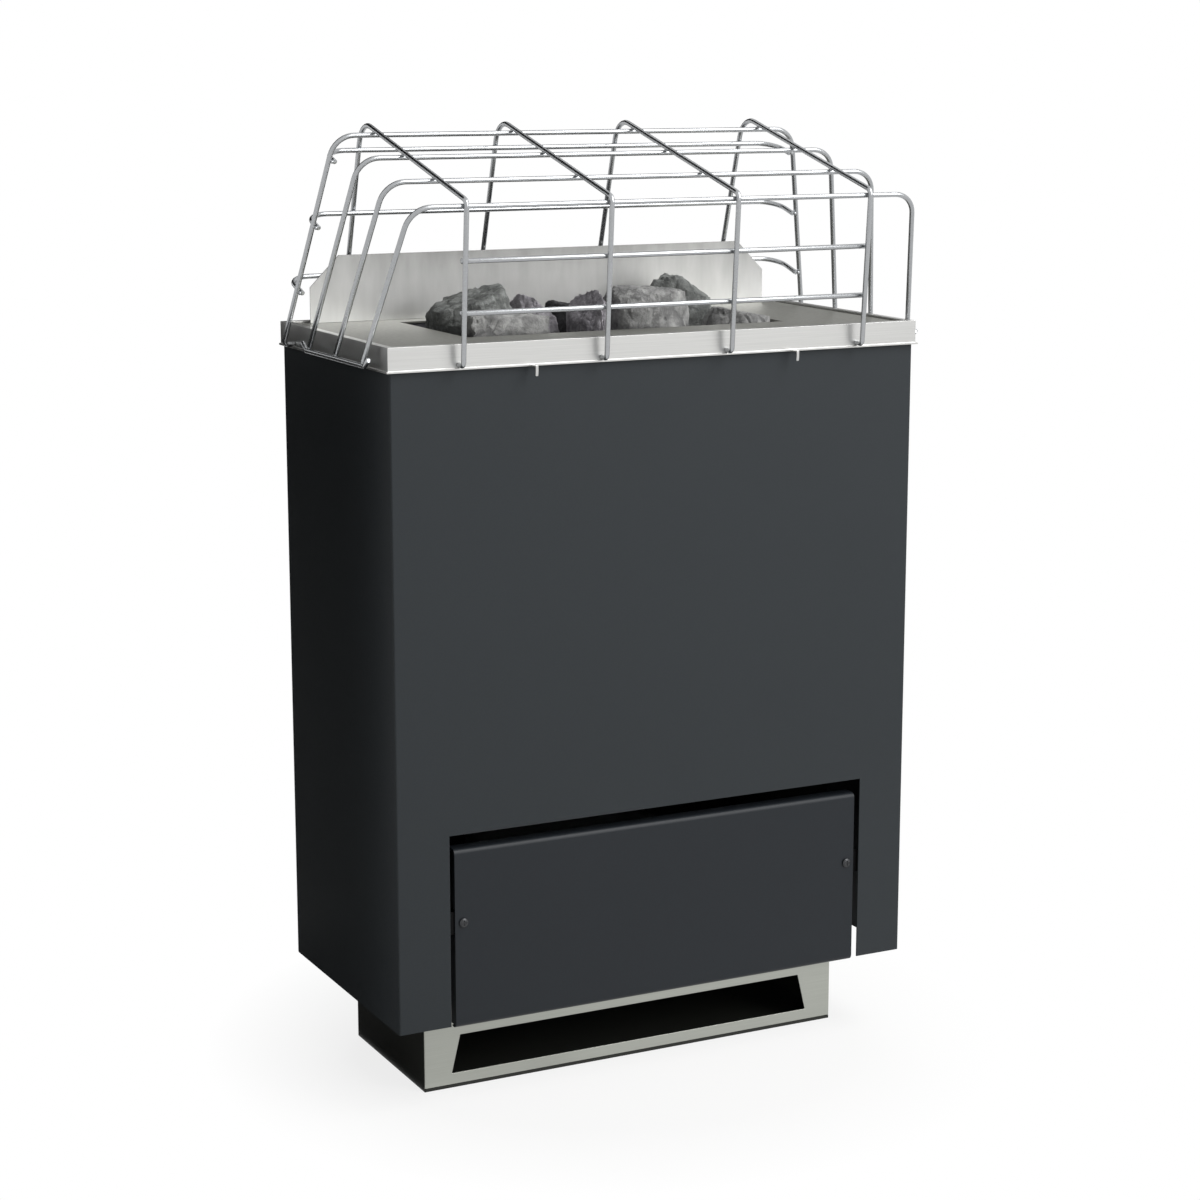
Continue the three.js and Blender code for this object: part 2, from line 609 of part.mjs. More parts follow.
// Stone bin hung on the heat shield, with a slotted grate for its floor
function addStoneBin() {
  const half = OPENING_HALF_WIDTH + BIN_WALL_GAP + SHEET;
  const front = OPENING_FRONT - BIN_WALL_GAP - SHEET;
  const back = OPENING_BACK + BIN_WALL_GAP + SHEET;
  const floor = BIN_BOTTOM + SHEET;
  const top = CASING_TOP + OVERCUT;
  const shrunk = (inset, z0, z1) => slab(-half + inset, half - inset, front + inset, back - inset, z0, z1);
  const flangeLow = SHIELD_TOP + FIT_GAP;
  const walls = wallRing(half, front, back, SHEET, BIN_BOTTOM, CASING_TOP);
  const lip = shrunk(SHEET / 2, BIN_BOTTOM, floor);
  const flange = slab(
    -SHIELD_HALF_WIDTH, SHIELD_HALF_WIDTH, SHIELD_FRONT, SHIELD_BACK, flangeLow, flangeLow + SHEET,
  );
  const well = shrunk(SHEET, floor, top);
  const drop = shrunk(BIN_LIP, BIN_BOTTOM - OVERCUT, top);
  add('stone_bin', cut(join(walls, lip, flange), well, drop), blackIron);

  const grateLow = floor + FIT_GAP;
  const grateHigh = grateLow + GRATE_THICKNESS;
  const grate = shrunk(SHEET + FIT_GAP, grateLow, grateHigh);
  const slots = Array.from({ length: 2 * GRATE_SLOTS_EACH_SIDE + 1 }, (_, i) => {
    const x = GRATE_PITCH * (i - GRATE_SLOTS_EACH_SIDE);
    const reach = GRATE_SLOT / 2;
    return slab(
      x - reach, x + reach, front + BIN_LIP, back - BIN_LIP, grateLow - OVERCUT, grateHigh + OVERCUT,
    );
  });
  add('stone_grate', cut(grate, ...slots), blackIron);
}

// Top plate with the stone opening, inside a folded rim with a lower lip and two pointed lugs
function addTop(screwHoles) {
  const half = HALF_WIDTH + RIM_OVERHANG;
  const plateHalf = half - RIM_SHEET - FIT_GAP;
  const plateFront = -RIM_OVERHANG + RIM_SHEET + FIT_GAP;
  const plateBack = BACK_PANEL_FACE - FIT_GAP;
  const plateLow = PLATE_TOP - PLATE_SHEET;
  const plate = slab(-plateHalf, plateHalf, plateFront, plateBack, plateLow, PLATE_TOP);
  const opening = slab(
    -OPENING_HALF_WIDTH, OPENING_HALF_WIDTH, OPENING_FRONT, OPENING_BACK,
    plateLow - OVERCUT, PLATE_TOP + OVERCUT,
  );
  add('top_plate', cut(plate, opening, ...screwHoles), brushedSteel);

  const ring = (inset, back, z0, z1) => slab(
    -half + inset, half - inset, -RIM_OVERHANG + inset, back, z0, z1,
  );
  const skirt = ring(0, CASING_DEPTH, RIM_BOTTOM, RIM_TOP);
  const lip = ring(-RIM_LIP, CASING_DEPTH, RIM_BOTTOM, RIM_BOTTOM + RIM_LIP);
  const core = ring(RIM_SHEET, BACK_PANEL_FACE, RIM_BOTTOM - OVERCUT, PLATE_TOP + FIT_GAP);
  const window = ring(RIM_FLANGE, CASING_DEPTH - RIM_FLANGE, RIM_BOTTOM, RIM_TOP + OVERCUT);
  const armTop = RIM_BOTTOM + LUG.halfWidth;
  const armBottom = RIM_BOTTOM - LUG.below;
  const shoulder = RIM_BOTTOM - LUG.drop / 2;
  const lugShape = polygon([
    [-RIM_OVERHANG, armTop], [-LUG.reach, armTop], [-LUG.reach, shoulder],
    [-LUG.reach + LUG.tip, RIM_BOTTOM - LUG.drop], [-LUG.reach + SHEET, shoulder],
    [-LUG.reach + SHEET, armBottom], [-RIM_OVERHANG, armBottom],
  ]);
  const lugs = [-1, 1].map((side) => {
    const x = side * LUG.offset;
    return prismAcross(lugShape, x - LUG.halfWidth, x + LUG.halfWidth);
  });
  add('top_rim', join(cut(join(skirt, lip), core, window), ...lugs), brushedSteel);
}

// Deflector that keeps the heat off the wall
function addDeflector() {
  const low = PLATE_TOP + FIT_GAP;
  const side = DEFLECTOR_HALF_WIDTH;
  const outline = polygon([
    [-side, low], [side, low], [side, DEFLECTOR_TOP - DEFLECTOR_CLIP], [side - DEFLECTOR_CLIP, DEFLECTOR_TOP],
    [-side + DEFLECTOR_CLIP, DEFLECTOR_TOP], [-side, DEFLECTOR_TOP - DEFLECTOR_CLIP],
  ]);
  const sheet = prismBack(outline, DEFLECTOR_FACE, DEFLECTOR_FACE + SHEET);
  const footBack = DEFLECTOR_FACE + SHEET + DEFLECTOR_FOOT;
  const footHalf = side - DEFLECTOR_FOOT_INSET;
  const foot = slab(-footHalf, footHalf, DEFLECTOR_FACE, footBack, low, low + SHEET);
  const screwTop = low + SHEET + FIT_GAP + PANEL_SCREW.headHeight;
  const screwY = footBack - DEFLECTOR_FOOT / 2;
  const places = [-1, 1].map((end) => [end * DEFLECTOR_SCREW_OFFSET, screwY, screwTop]);
  const holes = places.map((place) => panHole('z').translate(...place));
  add('deflector', cut(join(sheet, foot), ...holes), brushedSteel);
  places.forEach((place, i) => add(`deflector_screw_${i + 1}`, panScrew('z').translate(...place), zinc));
  return holes;
}

// Rock with flat faces: a rounded block cut back by planes whose directions follow a fixed spiral
function stoneGeometry(index, [halfX, halfY, halfZ]) {
  const golden = Math.PI * (3 - Math.sqrt(5));
  const planes = Array.from({ length: STONE_FACES }, (_, k) => {
    const height = 1 - (2 * k + 1) / STONE_FACES;
    const turn = golden * k + index;
    const ring = Math.sqrt(1 - height * height);
    const wobble = 0.5 + 0.5 * Math.sin(STONE_FACES * k + Math.PI * index / STONE_FACES);
    const normal = vec(ring * Math.cos(turn), ring * Math.sin(turn), height);
    return { normal, depth: STONE_FACE_DEPTH + STONE_FACE_SPREAD * wobble };
  });
  const rock = bareGeometry(new THREE.IcosahedronGeometry(1, 2));
  const spots = rock.attributes.position;
  for (let i = 0; i < spots.count; i += 1) {
    const ray = new THREE.Vector3().fromBufferAttribute(spots, i).normalize();
    const spread = ray.toArray().reduce((sum, share) => sum + Math.abs(share) ** STONE_BLOCKINESS, 0);
    const reach = planes.reduce((least, { normal, depth }) => {
      const facing = normal.dot(ray);
      return facing > 0 ? Math.min(least, depth / facing) : least;
    }, spread ** (-1 / STONE_BLOCKINESS));
    spots.setXYZ(i, ray.x * reach * halfX, ray.y * reach * halfY, ray.z * reach * halfZ);
  }
  return rock;
}

function addStones() {
  const lower = LOWER_STONE_COLUMNS.flatMap((x) => LOWER_STONE_ROWS.map(
    (y) => [x, y, LOWER_STONE_TOP, LOWER_STONE_HALF],
  ));
  [...SHOWN_STONES, ...lower].forEach(([x, y, top, half], i) => {
    const rock = stoneGeometry(i, half).translate(x, y, top - half[2]);
    add(`stone_${String(i + 1).padStart(2, '0')}`, rock, stoneFinishes[i % stoneFinishes.length]);
  });
}

// Wire guard: leaning hoops, ribs over them, cross rods and two foot rails
function addGuard() {
  const along = vec(0, Math.cos(GUARD_TILT), Math.sin(GUARD_TILT));
  const up = vec(0, -along.z, along.y);
  const slope = Math.tan(GUARD_TILT);
  const hoopLine = vec(0, HOOP_LINE.y, HOOP_LINE.z);
  const legHalf = (z) => LEG_FOOT_HALF_WIDTH - LEG_INWARD_SLOPE * (z - FOOT_Z);
  const wire = (name, corners, bend) => add(name, bentTube(corners, WIRE_RADIUS, bend), wireSteel);
  const hoopTop = (i) => (i === 0
    ? vec(0, FRONT_HOOP.y, FRONT_HOOP.z)
    : hoopLine.clone().addScaledVector(along, HOOP_SPACING * i));
  const hoopFootY = (i) => HOOP_FOOT.front + HOOP_FOOT.spacing * i;
  const hoopLean = (i) => (hoopFootY(i) - hoopTop(i).y) / (hoopTop(i).z - FOOT_Z);
  const lastHoop = HOOP_COUNT - 1;

  for (let i = 0; i < HOOP_COUNT; i += 1) {
    const { y, z } = hoopTop(i);
    const onLeg = (side, height) => vec(side * legHalf(height), y + (z - height) * hoopLean(i), height);
    const crown = [onLeg(-1, z), onLeg(1, z)];
    if (i === lastHoop) {
      const armEnd = HALF_WIDTH + RIM_OVERHANG + FIT_GAP;
      const arm = (side) => vec(side * armEnd, hoopFootY(i), FOOT_Z);
      const corners = [arm(-1), onLeg(-1, FOOT_Z), ...crown, onLeg(1, FOOT_Z), arm(1)];
      wire(`guard_hoop_${i + 1}`, corners, [FOOT_BEND, HOOP_BEND, HOOP_BEND, FOOT_BEND]);
    } else {
      const seat = FOOT_Z + WIRE_RADIUS + LEG_SEAT_GAP;
      wire(`guard_hoop_${i + 1}`, [onLeg(-1, seat), ...crown, onLeg(1, seat)], HOOP_BEND);
    }
  }

  const rearSlope = Math.tan(REAR_LEAN);
  const postY = (z) => POST_FOOT_Y - POST_LEAN * (z - FOOT_Z);
  const rearLegY = (z) => REAR_LEG_Y + (REAR_LEG_Z - z) * rearSlope;
  const ribStart = hoopLine.clone().addScaledVector(up, WIRE_STEP);
  const postLine = POST_FOOT_Y + POST_LEAN * FOOT_Z;
  const rearLine = REAR_LEG_Y + rearSlope * REAR_LEG_Z;
  const frontZ = (ribStart.z + slope * (postLine - ribStart.y)) / (1 + slope * POST_LEAN);
  const peakZ = (ribStart.z + slope * (rearLine - ribStart.y)) / (1 + slope * rearSlope);
  RIB_OFFSETS.forEach((x, i) => wire(`guard_rib_${i + 1}`, [
    vec(x, -RIM_OVERHANG - FIT_GAP, FOOT_Z), vec(x, postY(FOOT_Z), FOOT_Z), vec(x, postY(frontZ), frontZ),
    vec(x, rearLegY(peakZ), peakZ), vec(x, rearLegY(REAR_LEG_END), REAR_LEG_END),
  ], [FOOT_BEND, RIB_FRONT_BEND, RIB_PEAK_BEND]));

  FRONT_ROD_HEIGHTS.forEach((z, i) => {
    const y = postY(z) + WIRE_STEP;
    const ends = [vec(-FRONT_ROD_HALF_LENGTH, y, z), vec(FRONT_ROD_HALF_LENGTH, y, z)];
    wire(`guard_front_rod_${i + 1}`, ends, []);
  });

  const forward = vec(0, -Math.cos(REAR_LEAN), -Math.sin(REAR_LEAN));
  const lastTop = hoopTop(lastHoop);
  const lastLean = hoopLean(lastHoop);
  REAR_ROD_HEIGHTS.forEach((z, i) => {
    const rod = vec(0, rearLegY(z), z).addScaledVector(forward, WIRE_STEP);
    const behindLeg = rod.y - lastTop.y - (lastTop.z - rod.z) * lastLean;
    const armLength = behindLeg / (-forward.y - forward.z * lastLean) + WIRE_RADIUS;
    const tip = rod.clone().addScaledVector(forward, armLength);
    const half = legHalf(tip.z) - WIRE_STEP - REAR_ROD_GAP;
    const place = (side, point) => vec(side * half, point.y, point.z);
    const corners = [place(-1, tip), place(-1, rod), place(1, rod), place(1, tip)];
    wire(`guard_rear_rod_${i + 1}`, corners, REAR_ROD_BEND);
  });

  const railFront = hoopFootY(0) - RAIL_OVERRUN;
  const railBack = hoopFootY(lastHoop - 1) + RAIL_OVERRUN;
  for (const [word, side] of [['left', -1], ['right', 1]]) {
    const place = (y, z) => vec(side * LEG_FOOT_HALF_WIDTH, y, z);
    wire(`guard_foot_rail_${word}`, [
      place(railBack + RAIL_TIP_RUN, FOOT_Z + RAIL_TIP_RISE), place(railBack, FOOT_Z),
      place(railFront, FOOT_Z), place(railFront - RAIL_TIP_RUN, FOOT_Z + RAIL_TIP_RISE),
    ], FOOT_BEND);
  }
}

addPlinth();
addBasePlate();
addCasing();
addAccessCover();
addHeatChamber();
addJunctionBox();
addStoneBin();
addTop(addDeflector());
addStones();
addGuard();

heater.position.set(0, CASING_FRONT_Y, PLINTH_HEIGHT);
const part = new THREE.Group();
part.add(heater);

export default part;
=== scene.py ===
"""Sauna heater stove: painted casing, bright rim and guard, split stones, in a small white studio.

The sheets keep the shape of their solids and get rolled edges. The guard's wires, the heating
elements and the stones are made anew in the places of their solids. Metres, +Z up.
"""

import json
import logging
import math
import random
from dataclasses import dataclass
from enum import Enum
from typing import Sequence

import bmesh
import bpy
from mathutils import Matrix, Vector, noise

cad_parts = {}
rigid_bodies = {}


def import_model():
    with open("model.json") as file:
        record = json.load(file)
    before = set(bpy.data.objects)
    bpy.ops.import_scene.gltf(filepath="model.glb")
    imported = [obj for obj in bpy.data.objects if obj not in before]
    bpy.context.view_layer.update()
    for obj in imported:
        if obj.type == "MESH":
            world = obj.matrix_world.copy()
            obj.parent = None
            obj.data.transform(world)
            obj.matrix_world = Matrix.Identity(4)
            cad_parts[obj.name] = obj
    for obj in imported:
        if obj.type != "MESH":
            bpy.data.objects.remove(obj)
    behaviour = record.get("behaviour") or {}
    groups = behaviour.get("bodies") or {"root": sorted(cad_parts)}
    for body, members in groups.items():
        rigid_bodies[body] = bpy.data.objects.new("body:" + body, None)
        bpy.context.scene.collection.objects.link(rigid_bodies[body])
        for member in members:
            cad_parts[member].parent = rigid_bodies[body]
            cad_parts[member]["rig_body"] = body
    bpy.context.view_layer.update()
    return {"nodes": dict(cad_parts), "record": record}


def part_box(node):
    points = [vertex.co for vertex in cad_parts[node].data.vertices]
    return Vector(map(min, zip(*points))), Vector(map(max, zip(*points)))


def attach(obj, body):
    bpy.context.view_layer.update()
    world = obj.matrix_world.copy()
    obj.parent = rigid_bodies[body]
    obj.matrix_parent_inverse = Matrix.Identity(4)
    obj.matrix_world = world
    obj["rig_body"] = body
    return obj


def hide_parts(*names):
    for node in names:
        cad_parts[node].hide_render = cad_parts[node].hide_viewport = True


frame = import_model()

LOG = logging.getLogger("sauna_heater")
SLOTS = {part["node"]: part["material_slot"] for part in frame["record"]["subparts"]}
Socket = bpy.types.NodeSocket
Tree = bpy.types.NodeTree
Shape = bmesh.types.BMesh
Pair = tuple[float, float]
Place = tuple[float, float, float]


def mm(size: float) -> float:
    """Turns millimetres into metres."""
    return size / 1000


def linear(colour: str) -> tuple[float, float, float, float]:
    """Turns an sRGB hex colour into linear light.

    Args:
        colour: Six hex digits.

    Returns:
        Red, green, blue and an alpha of 1.
    """
    shares = [int(colour[i:i + 2], 16) / 255 for i in (0, 2, 4)]
    red, green, blue = (s / 12.92 if s <= 0.04045 else ((s + 0.055) / 1.055) ** 2.4 for s in shares)
    return red, green, blue, 1.0


def add_node(tree: Tree, kind: str, inputs: dict, **settings: object) -> bpy.types.Node:
    """Adds a shader node with its settings and links.

    Args:
        tree: The material's or world's node tree.
        kind: The node's type name.
        inputs: Socket name or number to a value, or to the output that feeds it.
        **settings: The node's own properties.

    Returns:
        The new node.
    """
    node = tree.nodes.new(kind)
    for name, value in settings.items():
        setattr(node, name, value)
    for key, value in inputs.items():
        if isinstance(value, Socket):
            tree.links.new(value, node.inputs[key])
        else:
            node.inputs[key].default_value = value
    return node


def empty_tree(owner: bpy.types.Material | bpy.types.World) -> Tree:
    """Gives a material or a world an empty node tree.

    Args:
        owner: The material or world.

    Returns:
        Its node tree.
    """
    owner.use_nodes = True
    owner.node_tree.nodes.clear()
    return owner.node_tree


def add_object(name: str, data: bpy.types.ID) -> bpy.types.Object:
    """Adds an object to the scene.

    Args:
        name: Its name.
        data: Its mesh, lamp or lens.

    Returns:
        The new object, at the origin.
    """
    added = bpy.data.objects.new(name, data)
    bpy.context.scene.collection.objects.link(added)
    return added


def add_shape(name: str, bm: Shape) -> bpy.types.Object:
    """Turns a bmesh into an object.

    Args:
        name: Its name.
        bm: The finished shape, which is freed.

    Returns:
        The new object, at the origin.
    """
    mesh = bpy.data.meshes.new(name)
    bm.to_mesh(mesh)
    bm.free()
    return add_object(name, mesh)


class Surface(Enum):
    """How a surface was made, which sets the pattern that it shows."""

    POWDER = "baked powder coat with a fine orange peel"
    BRUSHED = "ground on a belt, with hair lines along X"
    STREAKED = "wiped down, with soft streaks from top to bottom"
    DRAWN = "pulled through a die, with faint scores"
    SPANGLE = "dipped in zinc, with frost-like crystals"
    SCALE = "heated until its skin clouds"
    MOULDED = "pressed in a mould, with an even grain"
    SPLIT = "broken with a hammer, with cracks and crystal grains"


@dataclass(frozen=True)
class Finish:
    """One real material and the way its surface was made.

    Attributes:
        name: The material's common name.
        colour: Its main tone, sRGB hex.
        shade: Its second tone, sRGB hex.
        surface: How the surface was made.
        grain: Size of the pattern in mm.
        relief: Height of the pattern in mm.
        metallic: 1 for bare metal.
        roughness: Middle roughness.
        spread: How far the roughness strays either way.
        specular: Strength of a painted or stony surface's shine.
        heights: Lowest and highest place of a streaked sheet, whose tone darkens towards its top as painted
            shade and painted reflection.
    """

    name: str
    colour: str
    shade: str
    surface: Surface
    grain: float
    relief: float
    metallic: float
    roughness: float
    spread: float = 0.06
    specular: float = 0.5
    heights: Pair = (0.0, 1.0)

    CLOUD = 140.0
    CLOUD_SHARE = 0.35
    CLOUD_DETAIL = 3.0
    HAIR_LENGTH = 70.0
    HAIR_DETAIL = 4.0
    # How much the height ramp weighs in a streaked sheet's tone: its painted shade and painted reflection.
    HEIGHT_SHARE = 0.6
    GRAIN_DETAIL = 3.0
    SCALE_DETAIL = 6.0
    POWDER_DETAIL = 2.0
    ROCK_DETAIL = 9.0
    ROCK_ROUGHNESS = 0.68
    ROCK_RANGE = (0.34, 0.68)
    CRACK_BEND = 0.03
    CRACK_GRAINS = 2.4
    CRACK_WIDTH = 0.09
    CRACK_TONE = 0.2

    def material(self) -> bpy.types.Material:
        """Returns this finish's material, made on first use."""
        return bpy.data.materials.get(self.name) or self._make()

    def _make(self) -> bpy.types.Material:
        """Builds the node material.

        Returns:
            The new material.
        """
        material = bpy.data.materials.new(self.name)
        tree = empty_tree(material)
        place = add_node(tree, "ShaderNodeTexCoord", {}).outputs["Object"]
        grain = self._grain(tree, place)
        cloud = add_node(tree, "ShaderNodeTexNoise", {
            "Vector": place, "Scale": 1 / mm(self.CLOUD), "Detail": self.CLOUD_DETAIL,
        }).outputs["Fac"]
        tone = add_node(tree, "ShaderNodeMix", {0: self.CLOUD_SHARE, 2: grain, 3: cloud}, data_type="FLOAT")
        colour = add_node(
            tree, "ShaderNodeMix",
            {0: tone.outputs[0], 6: linear(self.shade), 7: linear(self.colour)}, data_type="RGBA",
        )
        rough = add_node(tree, "ShaderNodeMapRange", {
            "Value": tone.outputs[0], "To Min": self.roughness + self.spread,
            "To Max": self.roughness - self.spread,
        })
        bump = add_node(tree, "ShaderNodeBump", {
            "Height": grain, "Strength": 1.0, "Distance": mm(self.relief),
        })
        shader = add_node(tree, "ShaderNodeBsdfPrincipled", {
            "Base Color": colour.outputs[2], "Metallic": self.metallic,
            "Roughness": rough.outputs[0], "Normal": bump.outputs[0],
            "Specular IOR Level": self.specular,
        })
        add_node(tree, "ShaderNodeOutputMaterial", {"Surface": shader.outputs[0]})
        return material

    def _grain(self, tree: Tree, place: Socket) -> Socket:
        """Adds the nodes of the fine pattern.

        Args:
            tree: The material's node tree.
            place: Object coordinates.

        Returns:
            The output that runs from 0 to 1 over the pattern.
        """
        pitch = 1 / mm(self.grain)
        if self.surface in (Surface.BRUSHED, Surface.STREAKED):
            length = 1 / mm(self.HAIR_LENGTH)
            stretch = (length, pitch, pitch) if self.surface is Surface.BRUSHED else (pitch, pitch, length)
            hair = add_node(tree, "ShaderNodeMapping", {"Vector": place, "Scale": stretch})
            lines = add_node(tree, "ShaderNodeTexNoise", {
                "Vector": hair.outputs[0], "Scale": 1.0, "Detail": self.HAIR_DETAIL,
            }).outputs["Fac"]
            return lines if self.surface is Surface.BRUSHED else self._dulled(tree, place, lines)
        if self.surface is Surface.SPANGLE:
            return add_node(tree, "ShaderNodeTexVoronoi", {"Vector": place, "Scale": pitch}).outputs["Color"]
        if self.surface is Surface.SPLIT:
            return self._split(tree, place, pitch)
        details = {Surface.SCALE: self.SCALE_DETAIL, Surface.POWDER: self.POWDER_DETAIL}
        detail = details.get(self.surface, self.GRAIN_DETAIL)
        return add_node(
            tree, "ShaderNodeTexNoise", {"Vector": place, "Scale": pitch, "Detail": detail}
        ).outputs["Fac"]

    def _dulled(self, tree: Tree, place: Socket, streaks: Socket) -> Socket:
        """Darkens streaks towards the top of their sheet and pales them at its foot, as painted shade and
        painted reflection.

        Args:
            tree: The material's node tree.
            place: Object coordinates.
            streaks: The streaks.

        Returns:
            The output that is dark at the top and pale at the foot.
        """
        low, high = self.heights
        rise = add_node(tree, "ShaderNodeSeparateXYZ", {"Vector": place}).outputs["Z"]
        depth = add_node(tree, "ShaderNodeMapRange", {"Value": rise, "From Min": high, "From Max": low})
        return add_node(
            tree, "ShaderNodeMix", {0: self.HEIGHT_SHARE, 2: streaks, 3: depth.outputs[0]}, data_type="FLOAT"
        ).outputs[0]

    def _split(self, tree: Tree, place: Socket, pitch: float) -> Socket:
        """Adds crystal grains crossed by dark cracks.

        Args:
            tree: The material's node tree.
            place: Object coordinates.
            pitch: Grains per metre.

        Returns:
            The output that is dark in the cracks and pale on the grains.
        """
        rough = add_node(tree, "ShaderNodeTexNoise", {
            "Vector": place, "Scale": pitch, "Detail": self.ROCK_DETAIL, "Roughness": self.ROCK_ROUGHNESS,
        })
        contrast = add_node(tree, "ShaderNodeMapRange", {
            "Value": rough.outputs["Fac"], "From Min": self.ROCK_RANGE[0], "From Max": self.ROCK_RANGE[1],
        })
        bent = add_node(tree, "ShaderNodeMix", {
            0: self.CRACK_BEND, 4: place, 5: rough.outputs["Color"],
        }, data_type="VECTOR")
        crack = add_node(tree, "ShaderNodeTexVoronoi", {
            "Vector": bent.outputs[1], "Scale": pitch / self.CRACK_GRAINS,
        }, feature="DISTANCE_TO_EDGE")
        lit = add_node(tree, "ShaderNodeMapRange", {
            "Value": crack.outputs["Distance"], "From Max": self.CRACK_WIDTH, "To Min": self.CRACK_TONE,
        })
        return add_node(
            tree, "ShaderNodeMath", {0: contrast.outputs[0], 1: lit.outputs[0]}, operation="MULTIPLY"
        ).outputs[0]


# Sprayed powder baked on the casing: a faint orange peel breaks up a dull, even shine.
ANTHRACITE_COAT = Finish(
    "anthracite_powder_coat", "313538", "2B2F32", Surface.POWDER, 1.6, 0.05, 0.0, 0.5, specular=0.2)
# A smoother, bluer powder on the cover: its folded edge catches a clear line of light.
COVER_COAT = Finish(
    "slate_powder_coat", "22262B", "1D2125", Surface.POWDER, 1.6, 0.05, 0.0, 0.42, specular=0.25)
# A black powder on the plinth: nearly lost in the shade under the casing.
PLINTH_COAT = Finish(
    "black_powder_coat", "2C2D29", "242522", Surface.POWDER, 1.6, 0.05, 0.0, 0.55, specular=0.3)
# Black stove paint on the heat shield and the cover's brackets, kept this dark as painted shade: the gaps in
# the casing look black and deep.
SOOT_PAINT = Finish("black_stove_paint", "0E0E0F", "0A0A0B", Surface.SCALE, 5.0, 0.03, 0.0, 0.7, specular=0.1)
# Black plating on turned screws: a dark head with one bright point. Its scores are drawn coarser than life.
BLACK_ZINC = Finish("black_zinc_plate", "4A4B4D", "2B2C2E", Surface.DRAWN, 1.2, 0.01, 0.6, 0.3)
# Sheet ground on a belt: hair lines stretch the light along the rim. They are drawn coarser than life.
RIM_STEEL = Finish("ground_stainless_rim", "D2D2D0", "B0B0AE", Surface.BRUSHED, 0.9, 0.01, 1.0, 0.34)
# Sheet pickled after welding: a cloudy, dull grey without lines.
PLATE_STEEL = Finish("pickled_stainless_plate", "A2A29C", "70706C", Surface.SCALE, 5.0, 0.03, 1.0, 0.5)
# Bright sheet wiped clean, with soft streaks from top to bottom. Its tone runs from dark at the top to pale
# at the foot as painted shade and painted reflection.
DEFLECTOR_STEEL = Finish(
    "wiped_stainless", "EEEEEC", "565654", Surface.STREAKED, 16.0, 0.01, 1.0, 0.42,
    heights=tuple(corner.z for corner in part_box("deflector")))
# Satin-ground sheet: an even warm grey with faint lines, drawn coarser than life.
PLINTH_STEEL = Finish("satin_stainless", "B4B6AF", "A0A29B", Surface.BRUSHED, 1.1, 0.01, 1.0, 0.4)
# Wire pulled through a die: sharp bright and dark bands run along it. Its scores are drawn coarser than life.
WIRE_STEEL = Finish("drawn_stainless_wire", "B6B8BA", "9A9C9E", Surface.DRAWN, 2.5, 0.01, 1.0, 0.26)
# Sheet dipped in zinc: crystals of lighter and darker grey.
GALVANISED = Finish("galvanised_sheet", "A6AAAD", "83878A", Surface.SPANGLE, 7.0, 0.005, 1.0, 0.42)
# Bright plating on small screws: a bluish grey gleam. Its scores are drawn coarser than life.
ZINC = Finish("zinc_plated_steel", "85888B", "696C6F", Surface.DRAWN, 1.2, 0.01, 1.0, 0.36)
# Steel tube that has glowed: brown and straw clouds over a dull gleam.
SHEATH = Finish("heated_element_sheath", "6A6058", "3E3A38", Surface.SCALE, 14.0, 0.02, 1.0, 0.46)
# Iron blackened in oil: a scaly, almost black skin.
IRON = Finish("blackened_iron", "2C2B2C", "1C1B1C", Surface.SCALE, 9.0, 0.06, 0.4, 0.62)
# Fired unglazed ceramic: a chalky cream. Its grain is drawn coarser than life.
CERAMIC = Finish("steatite_ceramic", "DCD7CB", "CFC9BB", Surface.MOULDED, 1.0, 0.02, 0.0, 0.55)
# Plastic from a mould: an even, satin grey. Its grain is drawn coarser than life.
NYLON = Finish("grey_nylon", "585B5E", "4E5154", Surface.MOULDED, 0.8, 0.02, 0.0, 0.5)
# Brass from the lathe: a yellow gleam. Its scores are drawn coarser than life.
BRASS = Finish("turned_brass", "B8924E", "9A783C", Surface.DRAWN, 1.0, 0.01, 1.0, 0.3)
# Split rock: pale crystal grains on broken faces, crossed by dark cracks.
STONES = {
    slot: Finish(name, colour, shade, Surface.SPLIT, 18.0, 1.6, 0.0, 0.86, specular=0.3)
    for slot, name, colour, shade in (
        ("stone_grey", "grey_diabase", "C2C2C0", "424244"),
        ("stone_dark", "green_diabase", "B0B3B0", "343635"),
        ("stone_purple", "purple_diabase", "D0CCD2", "4A484E"),
    )
}
# The same rock painted nearly black for the stones deep in the heap: painted shade where they lie between the
# others.
SOOTED_STONE = Finish("sooted_diabase", "5A5A5C", "161617", Surface.SPLIT, 18.0, 1.6, 0.0, 0.9, specular=0.2)

SHARP_ANGLE = math.radians(35)
FLAT_ANGLE = math.radians(0.5)
MERGE_DISTANCE = mm(0.002)
EDGE_STEPS = 3
ROUND_PROFILE = 0.5


def make_piece(bm: Shape, name: str, body: str, finish: Finish) -> bpy.types.Object:
    """Turns a bmesh into a dressed piece that rides on a body.

    Args:
        bm: The finished shape, which is freed.
        name: The piece's name.
        body: The body that it moves with.
        finish: Its material.

    Returns:
        The new object, at the origin.
    """
    for face in bm.faces:
        face.smooth = True
    for edge in bm.edges:
        edge.smooth = edge.is_manifold and edge.calc_face_angle() < SHARP_ANGLE
    piece = add_shape(name, bm)
    piece.data.materials.append(finish.material())
    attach(piece, body)
    LOG.info("%s: %d faces on %s", name, len(piece.data.polygons), body)
    return piece


def stand_in(bm: Shape, node: str, word: str, finish: Finish) -> bpy.types.Object:
    """Makes a piece that takes a solid's place.

    Args:
        bm: The finished shape.
        node: The solid that it stands for.
        word: What the piece is, added to the solid's name.
        finish: Its material.

    Returns:
        The new object.
    """
    body = frame["nodes"][node]["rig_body"]
    piece = make_piece(bm, f"{node}_{word}", body, finish)
    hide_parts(node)
    return piece


